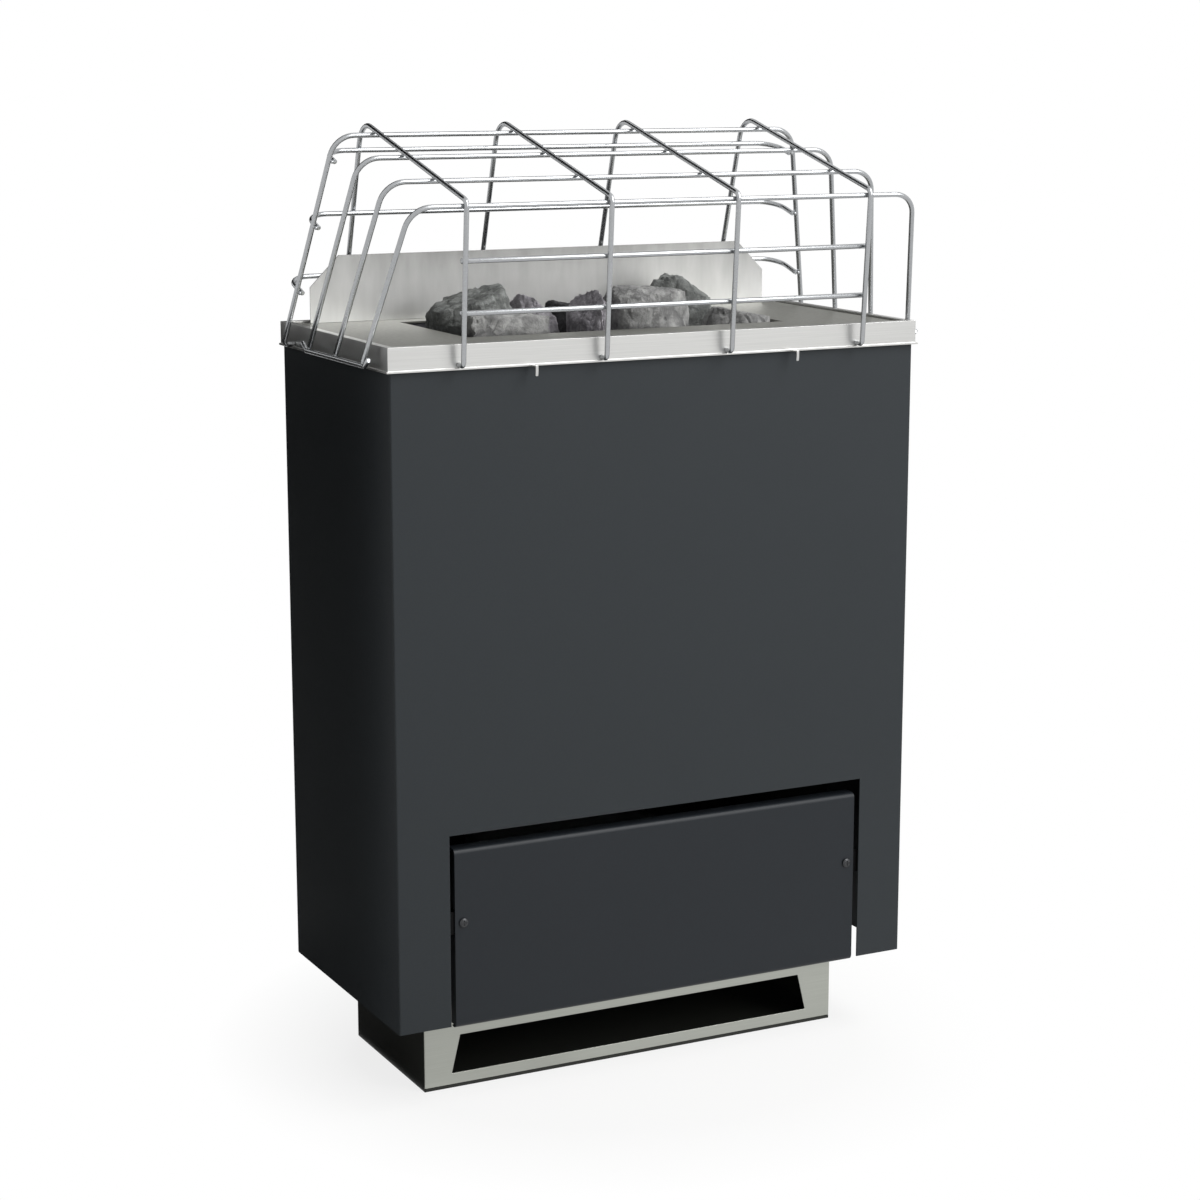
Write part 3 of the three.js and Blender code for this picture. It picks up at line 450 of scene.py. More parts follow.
def edged_sheet(node: str, finish: Finish, radius: float) -> None:
    """Copies a solid and rolls its sharp edges.

    Args:
        node: The solid to copy.
        finish: Its material.
        radius: Edge radius in mm.
    """
    bm = bmesh.new()
    bm.from_mesh(frame["nodes"][node].data)
    bmesh.ops.remove_doubles(bm, verts=bm.verts, dist=MERGE_DISTANCE)
    bmesh.ops.dissolve_limit(bm, angle_limit=FLAT_ANGLE, verts=bm.verts, edges=bm.edges)
    sharp = [e for e in bm.edges if e.is_manifold and e.calc_face_angle() > SHARP_ANGLE]
    bmesh.ops.bevel(
        bm, geom=sharp, offset=mm(radius), offset_type="OFFSET", segments=EDGE_STEPS,
        profile=ROUND_PROFILE, affect="EDGES", clamp_overlap=True, material=-1,
    )
    piece = stand_in(bm, node, "sheet", finish)
    flats = piece.modifiers.new("flat_faces", "WEIGHTED_NORMAL")
    flats.keep_sharp = True


@dataclass
class WireBench:
    """Bends round wire from straight lengths.

    Attributes:
        radius: Half the wire's thickness.
        sides: Sides of its round section.
        steps: Steps in each bend.
        end_round: Rounding of the cut ends.
        end_steps: Steps across that rounding.
    """

    radius: float
    sides: int = 14
    steps: int = 9
    end_round: float = mm(0.5)
    end_steps: int = 2

    def bend(self, corners: Sequence[Vector], bends: Sequence[float]) -> Shape:
        """Bends one wire round its corners.

        Args:
            corners: Where the straight runs would meet, with both ends.
            bends: Bend radius at each inner corner.

        Returns:
            The closed wire.
        """
        bm = bmesh.new()
        heading = (corners[1] - corners[0]).normalized()
        facing = heading.to_track_quat("Z", "Y").to_matrix().to_4x4()
        bmesh.ops.create_circle(
            bm, cap_ends=False, segments=self.sides, radius=self.radius,
            matrix=Matrix.Translation(corners[0]) @ facing,
        )
        ring = bm.verts[:] + bm.edges[:]
        here = corners[0]
        for corner, after, bend in zip(corners[1:-1], corners[2:], bends):
            heading = (corner - here).normalized()
            leaving = (after - corner).normalized()
            angle = heading.angle(leaving)
            reach = bend * math.tan(angle / 2)
            start = corner - heading * reach
            axis = heading.cross(leaving).normalized()
            ring = self._sweep(bm, ring, start - here)
            ring = self._sweep(bm, ring, Vector(), start + axis.cross(heading) * bend, axis, angle)
            here = corner + leaving * reach
        self._sweep(bm, ring, corners[-1] - here)
        ends = [edge for edge in bm.edges if edge.is_boundary]
        bmesh.ops.holes_fill(bm, edges=ends)
        bmesh.ops.bevel(
            bm, geom=ends, offset=self.end_round, offset_type="OFFSET", segments=self.end_steps,
            profile=ROUND_PROFILE, affect="EDGES", material=-1,
        )
        bmesh.ops.recalc_face_normals(bm, faces=bm.faces)
        return bm

    def _sweep(
        self, bm: Shape, ring: list, shift: Vector, centre: Vector = Vector(),
        axis: Vector = Vector((0, 0, 1)), angle: float = 0.0,
    ) -> list:
        """Carries the wire's end ring along a straight or round a bend.

        Args:
            bm: The wire so far.
            ring: Vertices and edges at its end.
            shift: The straight run, or nothing for a bend.
            centre: Centre of the bend.
            axis: Axis of the bend.
            angle: Angle of the bend.

        Returns:
            Vertices and edges at the new end.
        """
        made = bmesh.ops.spin(
            bm, geom=ring, cent=centre, axis=axis, dvec=shift, angle=angle,
            steps=self.steps if angle else 1, use_duplicate=False,
        )
        return made["geom_last"]


@dataclass
class Plinth:
    """Dark frame on the floor with a bright slotted plate in front.

    Attributes:
        edge: Edge radius in mm.
    """

    edge: float = 0.5

    def build(self) -> None:
        """Dresses the frame, its plate and the base plate over it."""
        edged_sheet("plinth_frame", PLINTH_COAT, self.edge)
        edged_sheet("plinth_front", PLINTH_STEEL, self.edge)
        edged_sheet("base_plate", GALVANISED, self.edge)


@dataclass
class Casing:
    """Painted casing with its screwed back panel.

    Attributes:
        edge: Edge radius in mm.
        screw_edge: The same on the screws.
        screws: Screws in the back panel.
    """

    edge: float = 0.45
    screw_edge: float = 0.225
    screws: int = 4

    def build(self) -> None:
        """Dresses the casing, the back panel and its screws."""
        edged_sheet("casing_shell", ANTHRACITE_COAT, self.edge)
        edged_sheet("back_panel", GALVANISED, self.edge)
        for number in range(1, self.screws + 1):
            edged_sheet(f"back_screw_{number}", ZINC, self.screw_edge)


@dataclass
class AccessCover:
    """Folded cover at the foot of the front with its screws and brackets.

    Attributes:
        edge: Edge radius in mm.
        screw_edge: The same on the screws.
    """

    edge: float = 0.4
    screw_edge: float = 0.2

    def build(self) -> None:
        """Dresses the cover, and on each side its bracket and screw."""
        edged_sheet("access_cover", COVER_COAT, self.edge)
        for side in ("left", "right"):
            # The brackets are black as painted shade in the gaps beside the cover.
            edged_sheet(f"cover_bracket_{side}", SOOT_PAINT, self.edge)
            edged_sheet(f"cover_screw_{side}", BLACK_ZINC, self.screw_edge)


@dataclass
class HeatChamber:
    """Heat shield, element plate and the three bent heating elements.

    Attributes:
        edge: Edge radius in mm.
        tube_radius: Half an element's thickness.
        tube_sides: Sides of its round section.
        bend: Radius of its bends.
        inner_share: How far out the inner legs stand, as a share of the outer legs.
        dip: Height of the low run in the middle.
        elements: Elements, one behind the other.
    """

    edge: float = 0.3
    tube_radius: float = mm(4)
    tube_sides: int = 20
    bend: float = mm(22)
    inner_share: float = 1 / 3
    dip: float = mm(342)
    elements: int = 3

    def build(self) -> None:
        """Dresses the sheets and bends the elements."""
        # The heat shield is black as painted shade behind the gaps in the casing.
        edged_sheet("heat_shield", SOOT_PAINT, self.edge)
        edged_sheet("element_plate", GALVANISED, self.edge)
        bench = WireBench(self.tube_radius, sides=self.tube_sides)
        for number in range(1, self.elements + 1):
            node = f"heating_element_{number}"
            route = self.route(node)
            inner_corners = len(route) - 2
            stand_in(bench.bend(route, [self.bend] * inner_corners), node, "tube", SHEATH)

    def route(self, node: str) -> list[Vector]:
        """Finds an element's corners from its solid.

        Args:
            node: The element's solid.

        Returns:
            Corners from one cold end to the other.
        """
        low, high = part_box(node)
        outer = high.x - self.tube_radius
        inner = outer * self.inner_share
        top = high.z - self.tube_radius
        y = (low.y + high.y) / 2
        half = [(outer, low.z), (outer, top), (inner, top), (inner, self.dip)]
        return [Vector((-x, y, z)) for x, z in half] + [Vector((x, y, z)) for x, z in reversed(half)]


@dataclass
class JunctionBox:
    """Terminal box with its ceramic block, brass screws and cable gland.

    Attributes:
        edge: Edge radius in mm.
        poles: Screws in the block.
        pitch: Distance from screw to screw.
        screw_radius: Half a screw's width.
        screw_height: Its height.
        screw_taper: Width of its top, as a share of its foot.
        screw_round: Rounding of its edges.
        screw_steps: Steps across that rounding.
        screw_sides: Sides of its round section.
        seat: Depth of the pockets that the screws stand in.
    """

    edge: float = 0.4
    poles: int = 5
    pitch: float = mm(24)
    screw_radius: float = mm(3.4)
    screw_height: float = mm(5)
    screw_taper: float = 0.9
    screw_round: float = mm(0.5)
    screw_steps: int = 2
    screw_sides: int = 20
    seat: float = mm(8)

    def build(self) -> None:
        """Dresses the box, the block and the gland, and adds the block's screws."""
        edged_sheet("terminal_box", GALVANISED, self.edge)
        edged_sheet("terminal_block", CERAMIC, self.edge)
        edged_sheet("cable_gland", NYLON, self.edge)
        low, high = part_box("terminal_block")
        bm = bmesh.new()
        face = low.y + self.seat
        for pole in range(self.poles):
            x = self.pitch * (pole - (self.poles - 1) / 2)
            spot = Vector((x, face - self.screw_height / 2, (low.z + high.z) / 2))
            bmesh.ops.create_cone(
                bm, cap_ends=True, segments=self.screw_sides, radius1=self.screw_radius,
                radius2=self.screw_radius * self.screw_taper, depth=self.screw_height,
                matrix=Matrix.Translation(spot) @ Matrix.Rotation(math.pi / 2, 4, "X"),
            )
        bmesh.ops.recalc_face_normals(bm, faces=bm.faces)
        bmesh.ops.bevel(
            bm, geom=[e for e in bm.edges if e.calc_face_angle() > SHARP_ANGLE], offset=self.screw_round,
            offset_type="OFFSET", segments=self.screw_steps, profile=ROUND_PROFILE, affect="EDGES",
            material=-1,
        )
        make_piece(bm, "terminal_screws", "heater", BRASS)


@dataclass
class TopWorks:
    """Rim, top plate, deflector, stone bin and grate.

    Attributes:
        edge: Edge radius in mm.
        screw_edge: The same on the screws.
        screws: Screws in the deflector's foot.
    """

    edge: float = 0.6
    screw_edge: float = 0.2
    screws: int = 2

    def build(self) -> None:
        """Dresses the steel round the stones."""
        edged_sheet("top_rim", RIM_STEEL, self.edge)
        edged_sheet("top_plate", PLATE_STEEL, self.edge)
        edged_sheet("deflector", DEFLECTOR_STEEL, self.edge)
        for number in range(1, self.screws + 1):
            edged_sheet(f"deflector_screw_{number}", ZINC, self.screw_edge)
        edged_sheet("stone_bin", IRON, self.edge)
        edged_sheet("stone_grate", IRON, self.edge)


@dataclass
class StoneHeap:
    """Split stones in the bin, each as large as its solid.

    Depths, heights and widths are shares of a stone's radius.

    Attributes:
        count: Stones in the heap.
        sooted: The stones that lie deep in it, which are painted nearly black as painted shade.
        leans: How far the flat top of each stone that shows leans to the right.
        bed_depth: Depth of the flat top.
        faces: Large split faces on each stone.
        face_depths: Depths of the deepest and the shallowest large face.
        chips: Small faces on each stone.
        chip_depths: Depths of the deepest and the shallowest small face.
        blockiness: Power that squares off the ball; 2 leaves it round.
        soften: Share by which the edges are worn.
        lump: Height and count of the coarse lumps.
        lump_layers: Fall-off, step and number of the lumps' layers.
        grit: Height and count of the fine ridges.
        grit_layers: Fall-off, step, number, offset and gain of the ridges' layers.
        crack: Depth, count and width of the cracks.
        fine: Subdivisions of the ball for a stone that shows.
        coarse: Subdivisions for one that lies underneath.
        drift: What moves the pattern on from stone to stone.
    """

    count: int = 16
    sooted: tuple[int, ...] = (8, 10, 11, 12, 13, 14, 15, 16)
    leans: tuple[float, ...] = (0.05, -0.3, 0.35, 0.06, 0.55, -0.4, 0.15, 0.1, 0.2, 0.0)
    bed_depth: float = 0.66
    faces: int = 6
    face_depths: Pair = (0.8, 1.05)
    chips: int = 26
    chip_depths: Pair = (0.98, 1.2)
    blockiness: float = 5.0
    soften: float = 0.35
    lump: Pair = (0.035, 1.6)
    lump_layers: tuple[float, float, int] = (0.9, 2.1, 4)
    grit: Pair = (0.028, 6.0)
    grit_layers: tuple[float, float, int, float, float] = (0.8, 2.2, 4, 1.0, 2.0)
    crack: tuple[float, float, float] = (0.045, 1.7, 0.12)
    fine: int = 5
    coarse: int = 4
    drift: tuple[float, float, float] = (1, 2, 3)

    def build(self) -> None:
        """Breaks the stones one after the other."""
        for number in range(1, self.count + 1):
            node = f"stone_{number:02d}"
            detail = self.fine if number <= len(self.leans) else self.coarse
            # Stones deep in the heap get the nearly black finish as painted shade.
            finish = SOOTED_STONE if number in self.sooted else STONES[SLOTS[node]]
            stand_in(self.rock(node, number, detail), node, "rock", finish)

    def splits(self, dice: random.Random, lean: float) -> list[tuple[Vector, float]]:
        """Chooses the faces that a stone breaks along.

        Args:
            dice: The stone's own random draws.
            lean: How far its flat top leans to the right.

        Returns:
            Direction and depth of each face.
        """
        planes = [(Vector((lean, 0, 1)).normalized(), self.bed_depth)]
        for count, depths in ((self.faces, self.face_depths), (self.chips, self.chip_depths)):
            for _ in range(count):
                facing = Vector([dice.gauss(0, 1) for _ in range(3)]).normalized()
                planes.append((facing, dice.uniform(*depths)))
        return planes

    def rock(self, node: str, seed: int, detail: int) -> Shape:
        """Breaks one stone to fit its solid's box.

        Args:
            node: The stone's solid.
            seed: Which way its faces point.
            detail: Subdivisions of the ball that it starts from.

        Returns:
            The stone.
        """
        lean = self.leans[seed - 1] if seed <= len(self.leans) else 0.0
        planes = self.splits(random.Random(seed), lean)
        bm = bmesh.new()
        bmesh.ops.create_icosphere(bm, subdivisions=detail, radius=1.0)
        for vert in bm.verts:
            ray = vert.co.normalized()
            facing = [(ray.dot(normal), depth) for normal, depth in planes]
            block = sum(abs(share) ** self.blockiness for share in ray) ** (-1 / self.blockiness)
            vert.co = ray * min([block] + [depth / turn for turn, depth in facing if turn > 0])
        bmesh.ops.smooth_vert(
            bm, verts=bm.verts, factor=self.soften, use_axis_x=True, use_axis_y=True, use_axis_z=True)
        drift = Vector(self.drift) * seed
        for vert in bm.verts:
            vert.co *= 1 + self.relief(vert.co, drift)
        self._fit(bm, *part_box(node))
        return bm

    def relief(self, spot: Vector, drift: Vector) -> float:
        """Finds how far the broken surface stands out at one spot.

        Args:
            spot: The spot on the stone.
            drift: What tells this stone's pattern from the others'.

        Returns:
            Its height: lumps, less the ridges' valleys and the cracks.
        """
        height, count = self.lump
        lump = height * noise.fractal(spot * count + drift, *self.lump_layers)
        height, count = self.grit
        grit = height * noise.ridged_multi_fractal(spot * count + drift, *self.grit_layers)
        depth, count, width = self.crack
        near = noise.voronoi(spot * count + drift)[0]
        crack = depth * max(0.0, 1 - (near[1] - near[0]) / width)
        return lump - grit - crack

    @staticmethod
    def _fit(bm: Shape, low: Vector, high: Vector) -> None:
        """Scales and moves a shape to fill a box.

        Args:
            bm: The shape.
            low: The box's lowest corner.
            high: The box's highest corner.
        """
        axes = range(3)
        least = Vector([min(v.co[i] for v in bm.verts) for i in axes])
        most = Vector([max(v.co[i] for v in bm.verts) for i in axes])
        bmesh.ops.translate(bm, verts=bm.verts, vec=-(least + most) / 2)
        bmesh.ops.scale(bm, verts=bm.verts, vec=[(high[i] - low[i]) / (most[i] - least[i]) for i in axes])
        bmesh.ops.translate(bm, verts=bm.verts, vec=(low + high) / 2)


@dataclass
class Guard:
    """Leaning wire guard: hoops, ribs over them, cross rods and foot rails, welded where they meet.

    Places are measured from the casing's front face and bottom edge, in millimetres. Tilt and rear
    lean are in degrees. A step lies between the middles of two wires that cross.
    """

    wire: float = 2.65
    step: float = 5.75
    tilt: float = 14.8
    rear_lean: float = 16.6
    hoops: int = 4
    hoop_spacing: float = 79.3
    hoop_line: Pair = (-22.6, 835.1)
    front_hoop: Pair = (-19.9, 834.5)
    hoop_foot_front: float = 33
    hoop_foot_spacing: float = 73
    hoop_bend: float = 26
    leg_foot_half_width: float = 315
    leg_slope: float = 0.205
    leg_gap: float = 1.4
    rib_offsets: tuple[float, ...] = (-228, -71.6, 71.6, 228)
    rib_front_bend: float = 7.5
    rib_peak_bend: float = 26
    post_foot_y: float = -14.5
    post_lean: float = 0.073
    rear_leg_y: float = 264.6
    rear_leg_z: float = 830
    rear_leg_end: float = 742
    front_rods: tuple[float, ...] = (782, 731)
    front_rod_half: float = 230
    rear_rods: tuple[float, ...] = (881, 815, 749)
    rear_rod_bend: float = 25
    rear_rod_gap: float = 0.2
    foot_bend: float = 4
    rail_overrun: float = 6
    rail_tip_run: float = 11
    rail_tip_rise: float = 7
    foot_z: float = 680.25
    rib_foot_y: float = -2.8
    arm_half_width: float = 302.8
    bead: float = 1.9
    bead_detail: int = 2

    def __post_init__(self) -> None:
        """Works out the slopes and directions that the wires share."""
        tilt = math.radians(self.tilt)
        lean = math.radians(self.rear_lean)
        self.slope = math.tan(tilt)
        self.rear_slope = math.tan(lean)
        self.along = Vector((0, math.cos(tilt), math.sin(tilt)))
        self.forward = Vector((0, -math.cos(lean), -math.sin(lean)))
        self.lift = Vector((0, -self.along.z, self.along.y)) * self.step
        self.bench = WireBench(mm(self.wire))
        self.beads: list[Vector] = []

    def build(self) -> None:
        """Bends every wire and adds the weld beads."""
        for number in range(self.hoops):
            self.hoop(number)
        for number, x in enumerate(self.rib_offsets):
            self.rib(number, x)
        for number, z in enumerate(self.front_rods):
            self.front_rod(number, z)
        for number, z in enumerate(self.rear_rods):
            self.rear_rod(number, z)
        for word, side in (("left", -1), ("right", 1)):
            self.foot_rail(word, side)
        self.weld()

    def place(self, x: float, y: float, z: float) -> Vector:
        """Turns a place on the casing into the frame's metres."""
        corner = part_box("casing_shell")[0]
        return Vector((mm(x), corner.y + mm(y), corner.z + mm(z)))

    def draw(self, node: str, corners: Sequence[Vector], bends: Sequence[float]) -> None:
        """Bends the wire that stands for a solid.

        Args:
            node: The wire's solid.
            corners: Its corners on the casing, in mm.
            bends: Bend radius at each inner corner.
        """
        route = [self.place(*corner) for corner in corners]
        stand_in(self.bench.bend(route, [mm(bend) for bend in bends]), node, "wire", WIRE_STEEL)

    def crown(self, number: int) -> Vector:
        """Returns the middle of a hoop's top; the front one hangs behind the posts."""
        line = Vector((0, *self.hoop_line)) + self.along * self.hoop_spacing * number
        return line if number else Vector((0, *self.front_hoop))

    def foot_y(self, number: int) -> float:
        """Returns how far back a hoop's feet stand."""
        return self.hoop_foot_front + self.hoop_foot_spacing * number

    def hoop_lean(self, number: int) -> float:
        """Returns how far back a hoop's legs run for each step down."""
        top = self.crown(number)
        return (self.foot_y(number) - top.y) / (top.z - self.foot_z)

    def leg_half(self, z: float) -> float:
        """Returns how far out the hoops' legs stand at a height."""
        return self.leg_foot_half_width - self.leg_slope * (z - self.foot_z)

    def post_y(self, z: float) -> float:
        """Returns how far back a front post stands at a height."""
        return self.post_foot_y - self.post_lean * (z - self.foot_z)

    def rear_leg(self, z: float) -> float:
        """Returns how far back a rib's rear leg stands at a height."""
        return self.rear_leg_y + (self.rear_leg_z - z) * self.rear_slope

    def on_leg(self, number: int, side: int, z: float) -> Vector:
        """Returns the place on a hoop's leg at a height."""
        top = self.crown(number)
        return Vector((side * self.leg_half(z), top.y + (top.z - z) * self.hoop_lean(number), z))

    def hoop(self, number: int) -> None:
        """Bends one hoop; the rearmost has feet that turn in.

        Args:
            number: Which hoop, from the front.
        """
        top = self.crown(number).z
        crown = [self.on_leg(number, -1, top), self.on_leg(number, 1, top)]
        if number == self.hoops - 1:
            feet = [self.on_leg(number, side, self.foot_z) for side in (-1, 1)]
            arms = [Vector((side * self.arm_half_width, feet[0].y, self.foot_z)) for side in (-1, 1)]
            corners = [arms[0], feet[0], *crown, feet[1], arms[1]]
            bends = [self.foot_bend, self.hoop_bend, self.hoop_bend, self.foot_bend]
        else:
            seat = self.foot_z + self.wire + self.leg_gap
            corners = [self.on_leg(number, -1, seat), *crown, self.on_leg(number, 1, seat)]
            bends = [self.hoop_bend, self.hoop_bend]
            self.beads += [self.on_leg(number, side, self.foot_z + self.wire) for side in (-1, 1)]
        self.draw(f"guard_hoop_{number + 1}", corners, bends)

    def rib(self, number: int, x: float) -> None:
        """Bends one rib: a front post, a slope over the hoops and a rear leg.

        Args:
            number: Which rib, from the left.
            x: How far to the right it stands.
        """
        start = Vector((0, *self.hoop_line)) + self.lift
        post_line = self.post_foot_y + self.post_lean * self.foot_z
        rear_line = self.rear_leg_y + self.rear_slope * self.rear_leg_z
        front = (start.z + self.slope * (post_line - start.y)) / (1 + self.slope * self.post_lean)
        peak = (start.z + self.slope * (rear_line - start.y)) / (1 + self.slope * self.rear_slope)
        corners = [
            Vector((x, self.rib_foot_y, self.foot_z)), Vector((x, self.post_y(self.foot_z), self.foot_z)),
            Vector((x, self.post_y(front), front)), Vector((x, self.rear_leg(peak), peak)),
            Vector((x, self.rear_leg(self.rear_leg_end), self.rear_leg_end)),
        ]
        bends = [self.foot_bend, self.rib_front_bend, self.rib_peak_bend]
        self.draw(f"guard_rib_{number + 1}", corners, bends)
        for hoop in range(1, self.hoops):
            self.beads.append(self.crown(hoop) + self.lift / 2 + Vector((x, 0, 0)))
        self.beads.append(self.crown(0) + Vector((x, -self.step / 2, 0)))

    def front_rod(self, number: int, z: float) -> None:
        """Cuts one straight rod behind the front posts.

        Args:
            number: Which rod, from the top.
            z: Its height.
        """
        y = self.post_y(z) + self.step
        ends = [Vector((side * self.front_rod_half, y, z)) for side in (-1, 1)]
        self.draw(f"guard_front_rod_{number + 1}", ends, [])
        self.beads += [Vector((x, y - self.step / 2, z)) for x in self.rib_offsets]

    def rear_rod(self, number: int, z: float) -> None:
        """Bends one rod inside the rear legs, with arms that reach the last hoop.

        Args:
            number: Which rod, from the top.
            z: Its height.
        """
        rod = Vector((0, self.rear_leg(z), z)) + self.forward * self.step
        last = self.hoops - 1
        top = self.crown(last)
        behind = rod.y - top.y - (top.z - rod.z) * self.hoop_lean(last)
        reach = behind / (-self.forward.y - self.forward.z * self.hoop_lean(last)) + self.wire
        tip = rod + self.forward * reach
        half = self.leg_half(tip.z) - self.step - self.rear_rod_gap
        left, right = Vector((-half, 0, 0)), Vector((half, 0, 0))
        corners = [left + tip, left + rod, right + rod, right + tip]
        self.draw(f"guard_rear_rod_{number + 1}", corners, [self.rear_rod_bend] * 2)
        self.beads += [rod - self.forward * self.step / 2 + Vector((x, 0, 0)) for x in self.rib_offsets]
        self.beads += [tip + Vector((side * (half + self.step / 2), 0, 0)) for side in (-1, 1)]

    def foot_rail(self, word: str, side: int) -> None:
        """Bends one rail under the feet, with upturned ends.

        Args:
            word: The side's name.
            side: -1 on the left, 1 on the right.
        """
        front = self.on_leg(0, side, self.foot_z).y - self.rail_overrun
        back = self.on_leg(self.hoops - 2, side, self.foot_z).y + self.rail_overrun
        x = side * self.leg_foot_half_width
        tip = self.foot_z + self.rail_tip_rise
        corners = [
            Vector((x, back + self.rail_tip_run, tip)), Vector((x, back, self.foot_z)),
            Vector((x, front, self.foot_z)), Vector((x, front - self.rail_tip_run, tip)),
        ]
        self.draw(f"guard_foot_rail_{word}", corners, [self.foot_bend] * 2)

    def weld(self) -> None:
        """Sets a small bead of weld metal at every crossing."""
        bm = bmesh.new()
        for spot in self.beads:
            bmesh.ops.create_icosphere(
                bm, subdivisions=self.bead_detail, radius=mm(self.bead),
                matrix=Matrix.Translation(self.place(*spot)),
            )
        make_piece(bm, "guard_welds", "guard", WIRE_STEEL)


@dataclass(frozen=True)
class Lamp:
    """Soft box that lights the heater.

    Attributes:
        name: Its name.
        place: Where it hangs.
        aim: What it points at.
        size: Its width and height.
        power: Its power in watts.
        mirrored: Whether shiny surfaces show it.
    """

    name: str
    place: Place
    aim: Place
    size: Pair
    power: float
    mirrored: bool


@dataclass(frozen=True)
class Card:
    """Dark card that the heater sees and the camera does not.

    Attributes:
        name: Its name.
        place: Its middle.
        turn: Degrees about Y, then about X, from lying flat.
        half: Half its side.
        cloth: Colour of its cloth, sRGB hex.
        shades: Whether it keeps light off the heater and is not mirrored in it.
    """

    name: str
    place: Place
    turn: Pair
    half: float
    cloth: str
    shades: bool = False


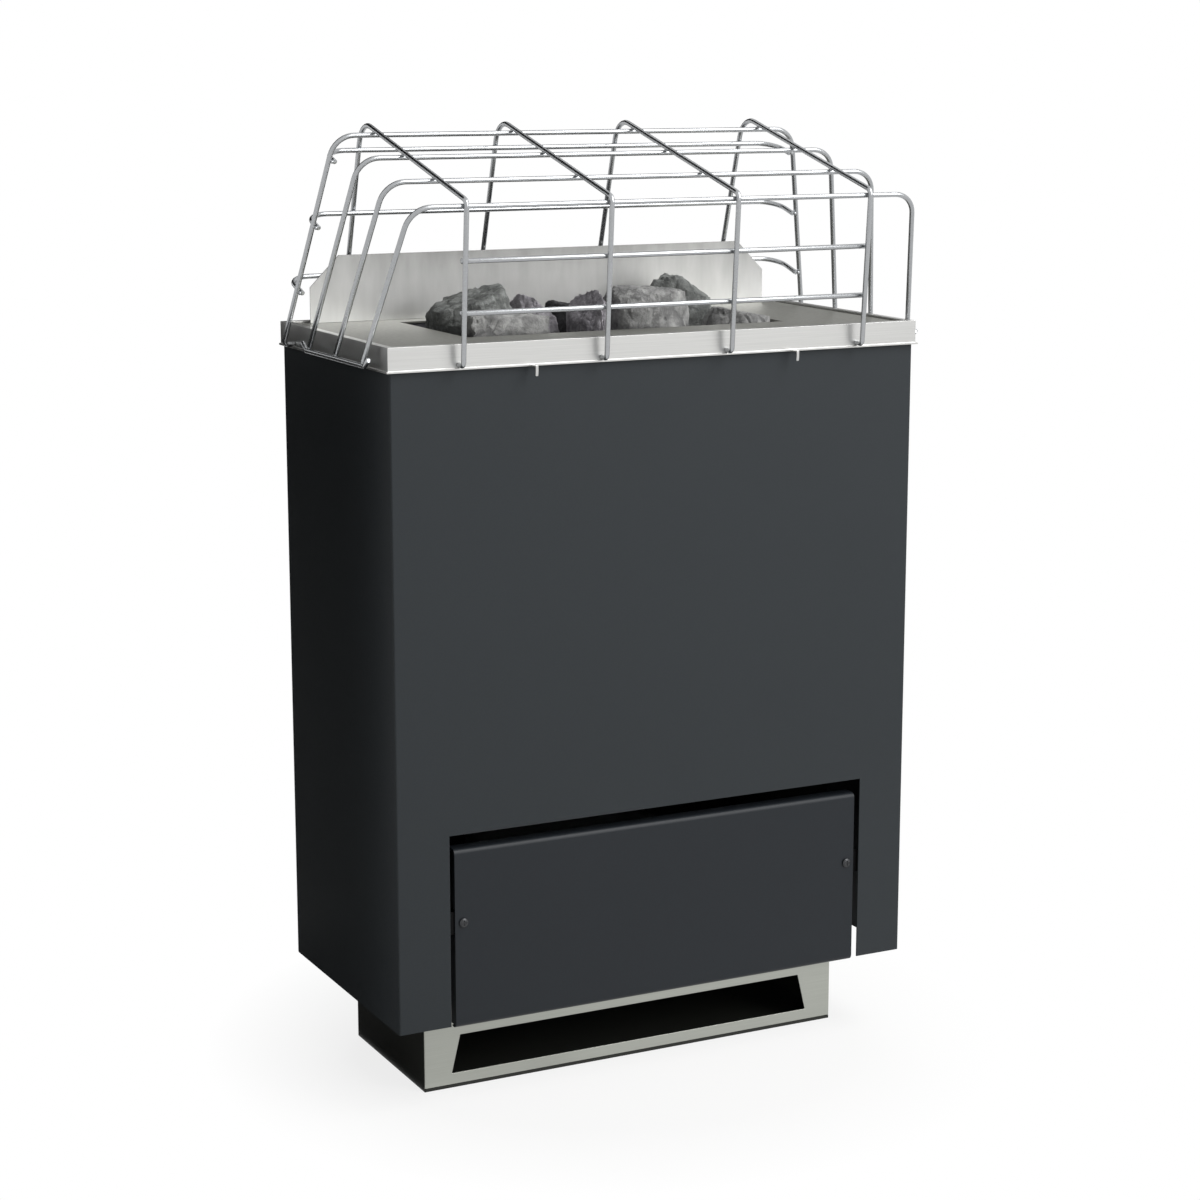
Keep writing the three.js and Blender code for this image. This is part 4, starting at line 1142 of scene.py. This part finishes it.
@dataclass
class Studio:
    """White studio: floor, backdrop, lamps, dark cards and the camera.

    Attributes:
        camera_place: Where the camera stands.
        camera_pitch: Its turn up from straight down, in degrees.
        camera_yaw: Its turn to the left, in degrees.
        focal: Focal length in mm.
        sensor: Width of the sensor in mm.
        floor_half: Half the floor's side.
        floor_colour: Its paint, sRGB hex.
        white: Colour of the studio's light, sRGB hex.
        ambient: Level of the light from all round.
        glow: Share of plain white in the floor beside the heater.
        fade: Distances over which the floor turns plain white.
        lamps: The soft boxes.
        cards: Cards that darken the left side, the ribs and the top plate.
    """

    camera_place: Place = (-1.2803, -2.5271, 1.0705)
    camera_pitch: float = 78.459
    camera_yaw: float = -26.797
    focal: float = 80.356
    sensor: float = 36.0
    floor_half: float = 12.0
    floor_colour: str = "F4F4F2"
    white: str = "FFFFFF"
    ambient: float = 0.32
    glow: float = 0.82
    fade: Pair = (0.28, 0.44)
    lamps: tuple[Lamp, ...] = (
        Lamp("key", (1.7, -2.9, 2.3), (0, 0, 0.55), (2.4, 2.0), 68, True),
        Lamp("overhead", (0.9, -1.1, 2.4), (0, 0, 0.7), (1.4, 1.0), 30, True),
        Lamp("rear", (0.8, 2.8, 2.0), (0, 0, 0.6), (1.8, 1.8), 30, False),
    )
    cards: tuple[Card, ...] = (
        Card("left_flag", (-1.2, 0.1, 1.1), (90, 0), 1.2, "505050", True),
        Card("left_card", (-0.36, 0.34, 0.395), (90, 0), 0.395, "444444"),
        Card("floor_card", (-0.6, 0.1, 0.001), (0, 0), 0.35, "808080"),
        Card("back_card", (0.8, 3.2, 1.4), (0, 90), 1.6, "505050"),
        Card("rib_card", (-0.9, 1.3, 2.15), (0, -48), 0.9, "101010"),
    )

    def build(self) -> None:
        """Sets the stage."""
        bpy.context.scene.view_settings.view_transform = "Standard"
        self.world()
        self.floor()
        for card in self.cards:
            self.stand(card)
        for lamp in self.lamps:
            self.hang(lamp)
        self.camera()

    @staticmethod
    def hang(lamp: Lamp) -> None:
        """Hangs one soft box.

        Args:
            lamp: The soft box.
        """
        light = bpy.data.lights.new(lamp.name, "AREA")
        light.shape = "RECTANGLE"
        light.size, light.size_y = lamp.size
        light.energy = lamp.power
        box = add_object(lamp.name, light)
        box.location = lamp.place
        box.rotation_euler = (Vector(lamp.aim) - Vector(lamp.place)).to_track_quat("-Z", "Y").to_euler()
        box.visible_glossy = lamp.mirrored

    def world(self) -> None:
        """Makes a world that is white where it is seen and softer where it lights."""
        world = bpy.data.worlds.new("studio")
        bpy.context.scene.world = world
        tree = empty_tree(world)
        level = add_node(tree, "ShaderNodeMapRange", {"Value": self.seen(tree), "To Min": self.ambient})
        back = add_node(tree, "ShaderNodeBackground", {
            "Color": linear(self.white), "Strength": level.outputs[0],
        })
        add_node(tree, "ShaderNodeOutputWorld", {"Surface": back.outputs[0]})

    @staticmethod
    def seen(tree: Tree) -> Socket:
        """Adds nodes that are 1 where the camera or a shiny surface looks.

        Args:
            tree: The node tree of the floor or the world.

        Returns:
            The output that is 1 for those rays and 0 for the rest.
        """
        path = add_node(tree, "ShaderNodeLightPath", {}).outputs
        return add_node(tree, "ShaderNodeMath", {
            0: path["Is Camera Ray"], 1: path["Is Glossy Ray"],
        }, operation="MAXIMUM").outputs[0]

    @staticmethod
    def sheet(name: str, half: float, matrix: Matrix) -> bpy.types.Object:
        """Makes a flat square of the stage.

        Args:
            name: Its name.
            half: Half its side.
            matrix: Its place and turn.

        Returns:
            The square.
        """
        bm = bmesh.new()
        bmesh.ops.create_grid(bm, x_segments=1, y_segments=1, size=half, matrix=matrix)
        square = add_shape(name, bm)
        return square

    def floor(self) -> None:
        """Lays the pale floor, which keeps the heater's shadow and turns white farther off."""
        floor = self.sheet("floor", self.floor_half, Matrix.Identity(4))
        material = bpy.data.materials.new("pale_floor")
        tree = empty_tree(material)
        place = add_node(tree, "ShaderNodeTexCoord", {}).outputs["Object"]
        away = add_node(tree, "ShaderNodeVectorMath", {0: place}, operation="LENGTH").outputs["Value"]
        share = add_node(tree, "ShaderNodeMapRange", {
            "Value": away, "From Min": self.fade[0], "From Max": self.fade[1], "To Min": self.glow,
        })
        glow = add_node(
            tree, "ShaderNodeMath", {0: self.seen(tree), 1: share.outputs[0]}, operation="MULTIPLY")
        paint = add_node(tree, "ShaderNodeBsdfDiffuse", {"Color": linear(self.floor_colour)})
        white = add_node(tree, "ShaderNodeEmission", {"Color": linear(self.white), "Strength": 1.0})
        mixed = add_node(tree, "ShaderNodeMixShader", {
            0: glow.outputs[0], 1: paint.outputs[0], 2: white.outputs[0],
        })
        add_node(tree, "ShaderNodeOutputMaterial", {"Surface": mixed.outputs[0]})
        floor.data.materials.append(material)

    def stand(self, card: Card) -> None:
        """Stands one dark card beside the heater.

        Args:
            card: The card.
        """
        about_y, about_x = (math.radians(angle) for angle in card.turn)
        turn = Matrix.Rotation(about_x, 4, "X") @ Matrix.Rotation(about_y, 4, "Y")
        sheet = self.sheet(card.name, card.half, Matrix.Translation(card.place) @ turn)
        sheet.visible_camera = False
        sheet.visible_diffuse = card.shades
        sheet.visible_glossy = not card.shades
        sheet.visible_shadow = card.shades
        sheet.data.materials.append(self.cloth(card.cloth))

    @staticmethod
    def cloth(colour: str) -> bpy.types.Material:
        """Makes a card's dull cloth.

        Args:
            colour: Its colour, sRGB hex.

        Returns:
            The cloth's material.
        """
        material = bpy.data.materials.new("dyed_cloth")
        tree = empty_tree(material)
        weave = add_node(tree, "ShaderNodeBsdfDiffuse", {"Color": linear(colour)})
        add_node(tree, "ShaderNodeOutputMaterial", {"Surface": weave.outputs[0]})
        return material

    def camera(self) -> None:
        """Places the camera at the photograph's angle."""
        lens = bpy.data.cameras.new("camera")
        lens.sensor_width = self.sensor
        lens.lens = self.focal
        camera = add_object("camera", lens)
        camera.location = self.camera_place
        camera.rotation_euler = (math.radians(self.camera_pitch), 0, math.radians(self.camera_yaw))
        bpy.context.scene.camera = camera


def main() -> None:
    """Builds the sub-assemblies in order and sets the stage."""
    logging.basicConfig(level=logging.INFO, format="%(name)s: %(message)s")
    parts = (
        Plinth(), Casing(), AccessCover(), HeatChamber(), JunctionBox(), TopWorks(), StoneHeap(), Guard(),
        Studio(),
    )
    for part in parts:
        part.build()


if __name__ == "__main__":
    main()
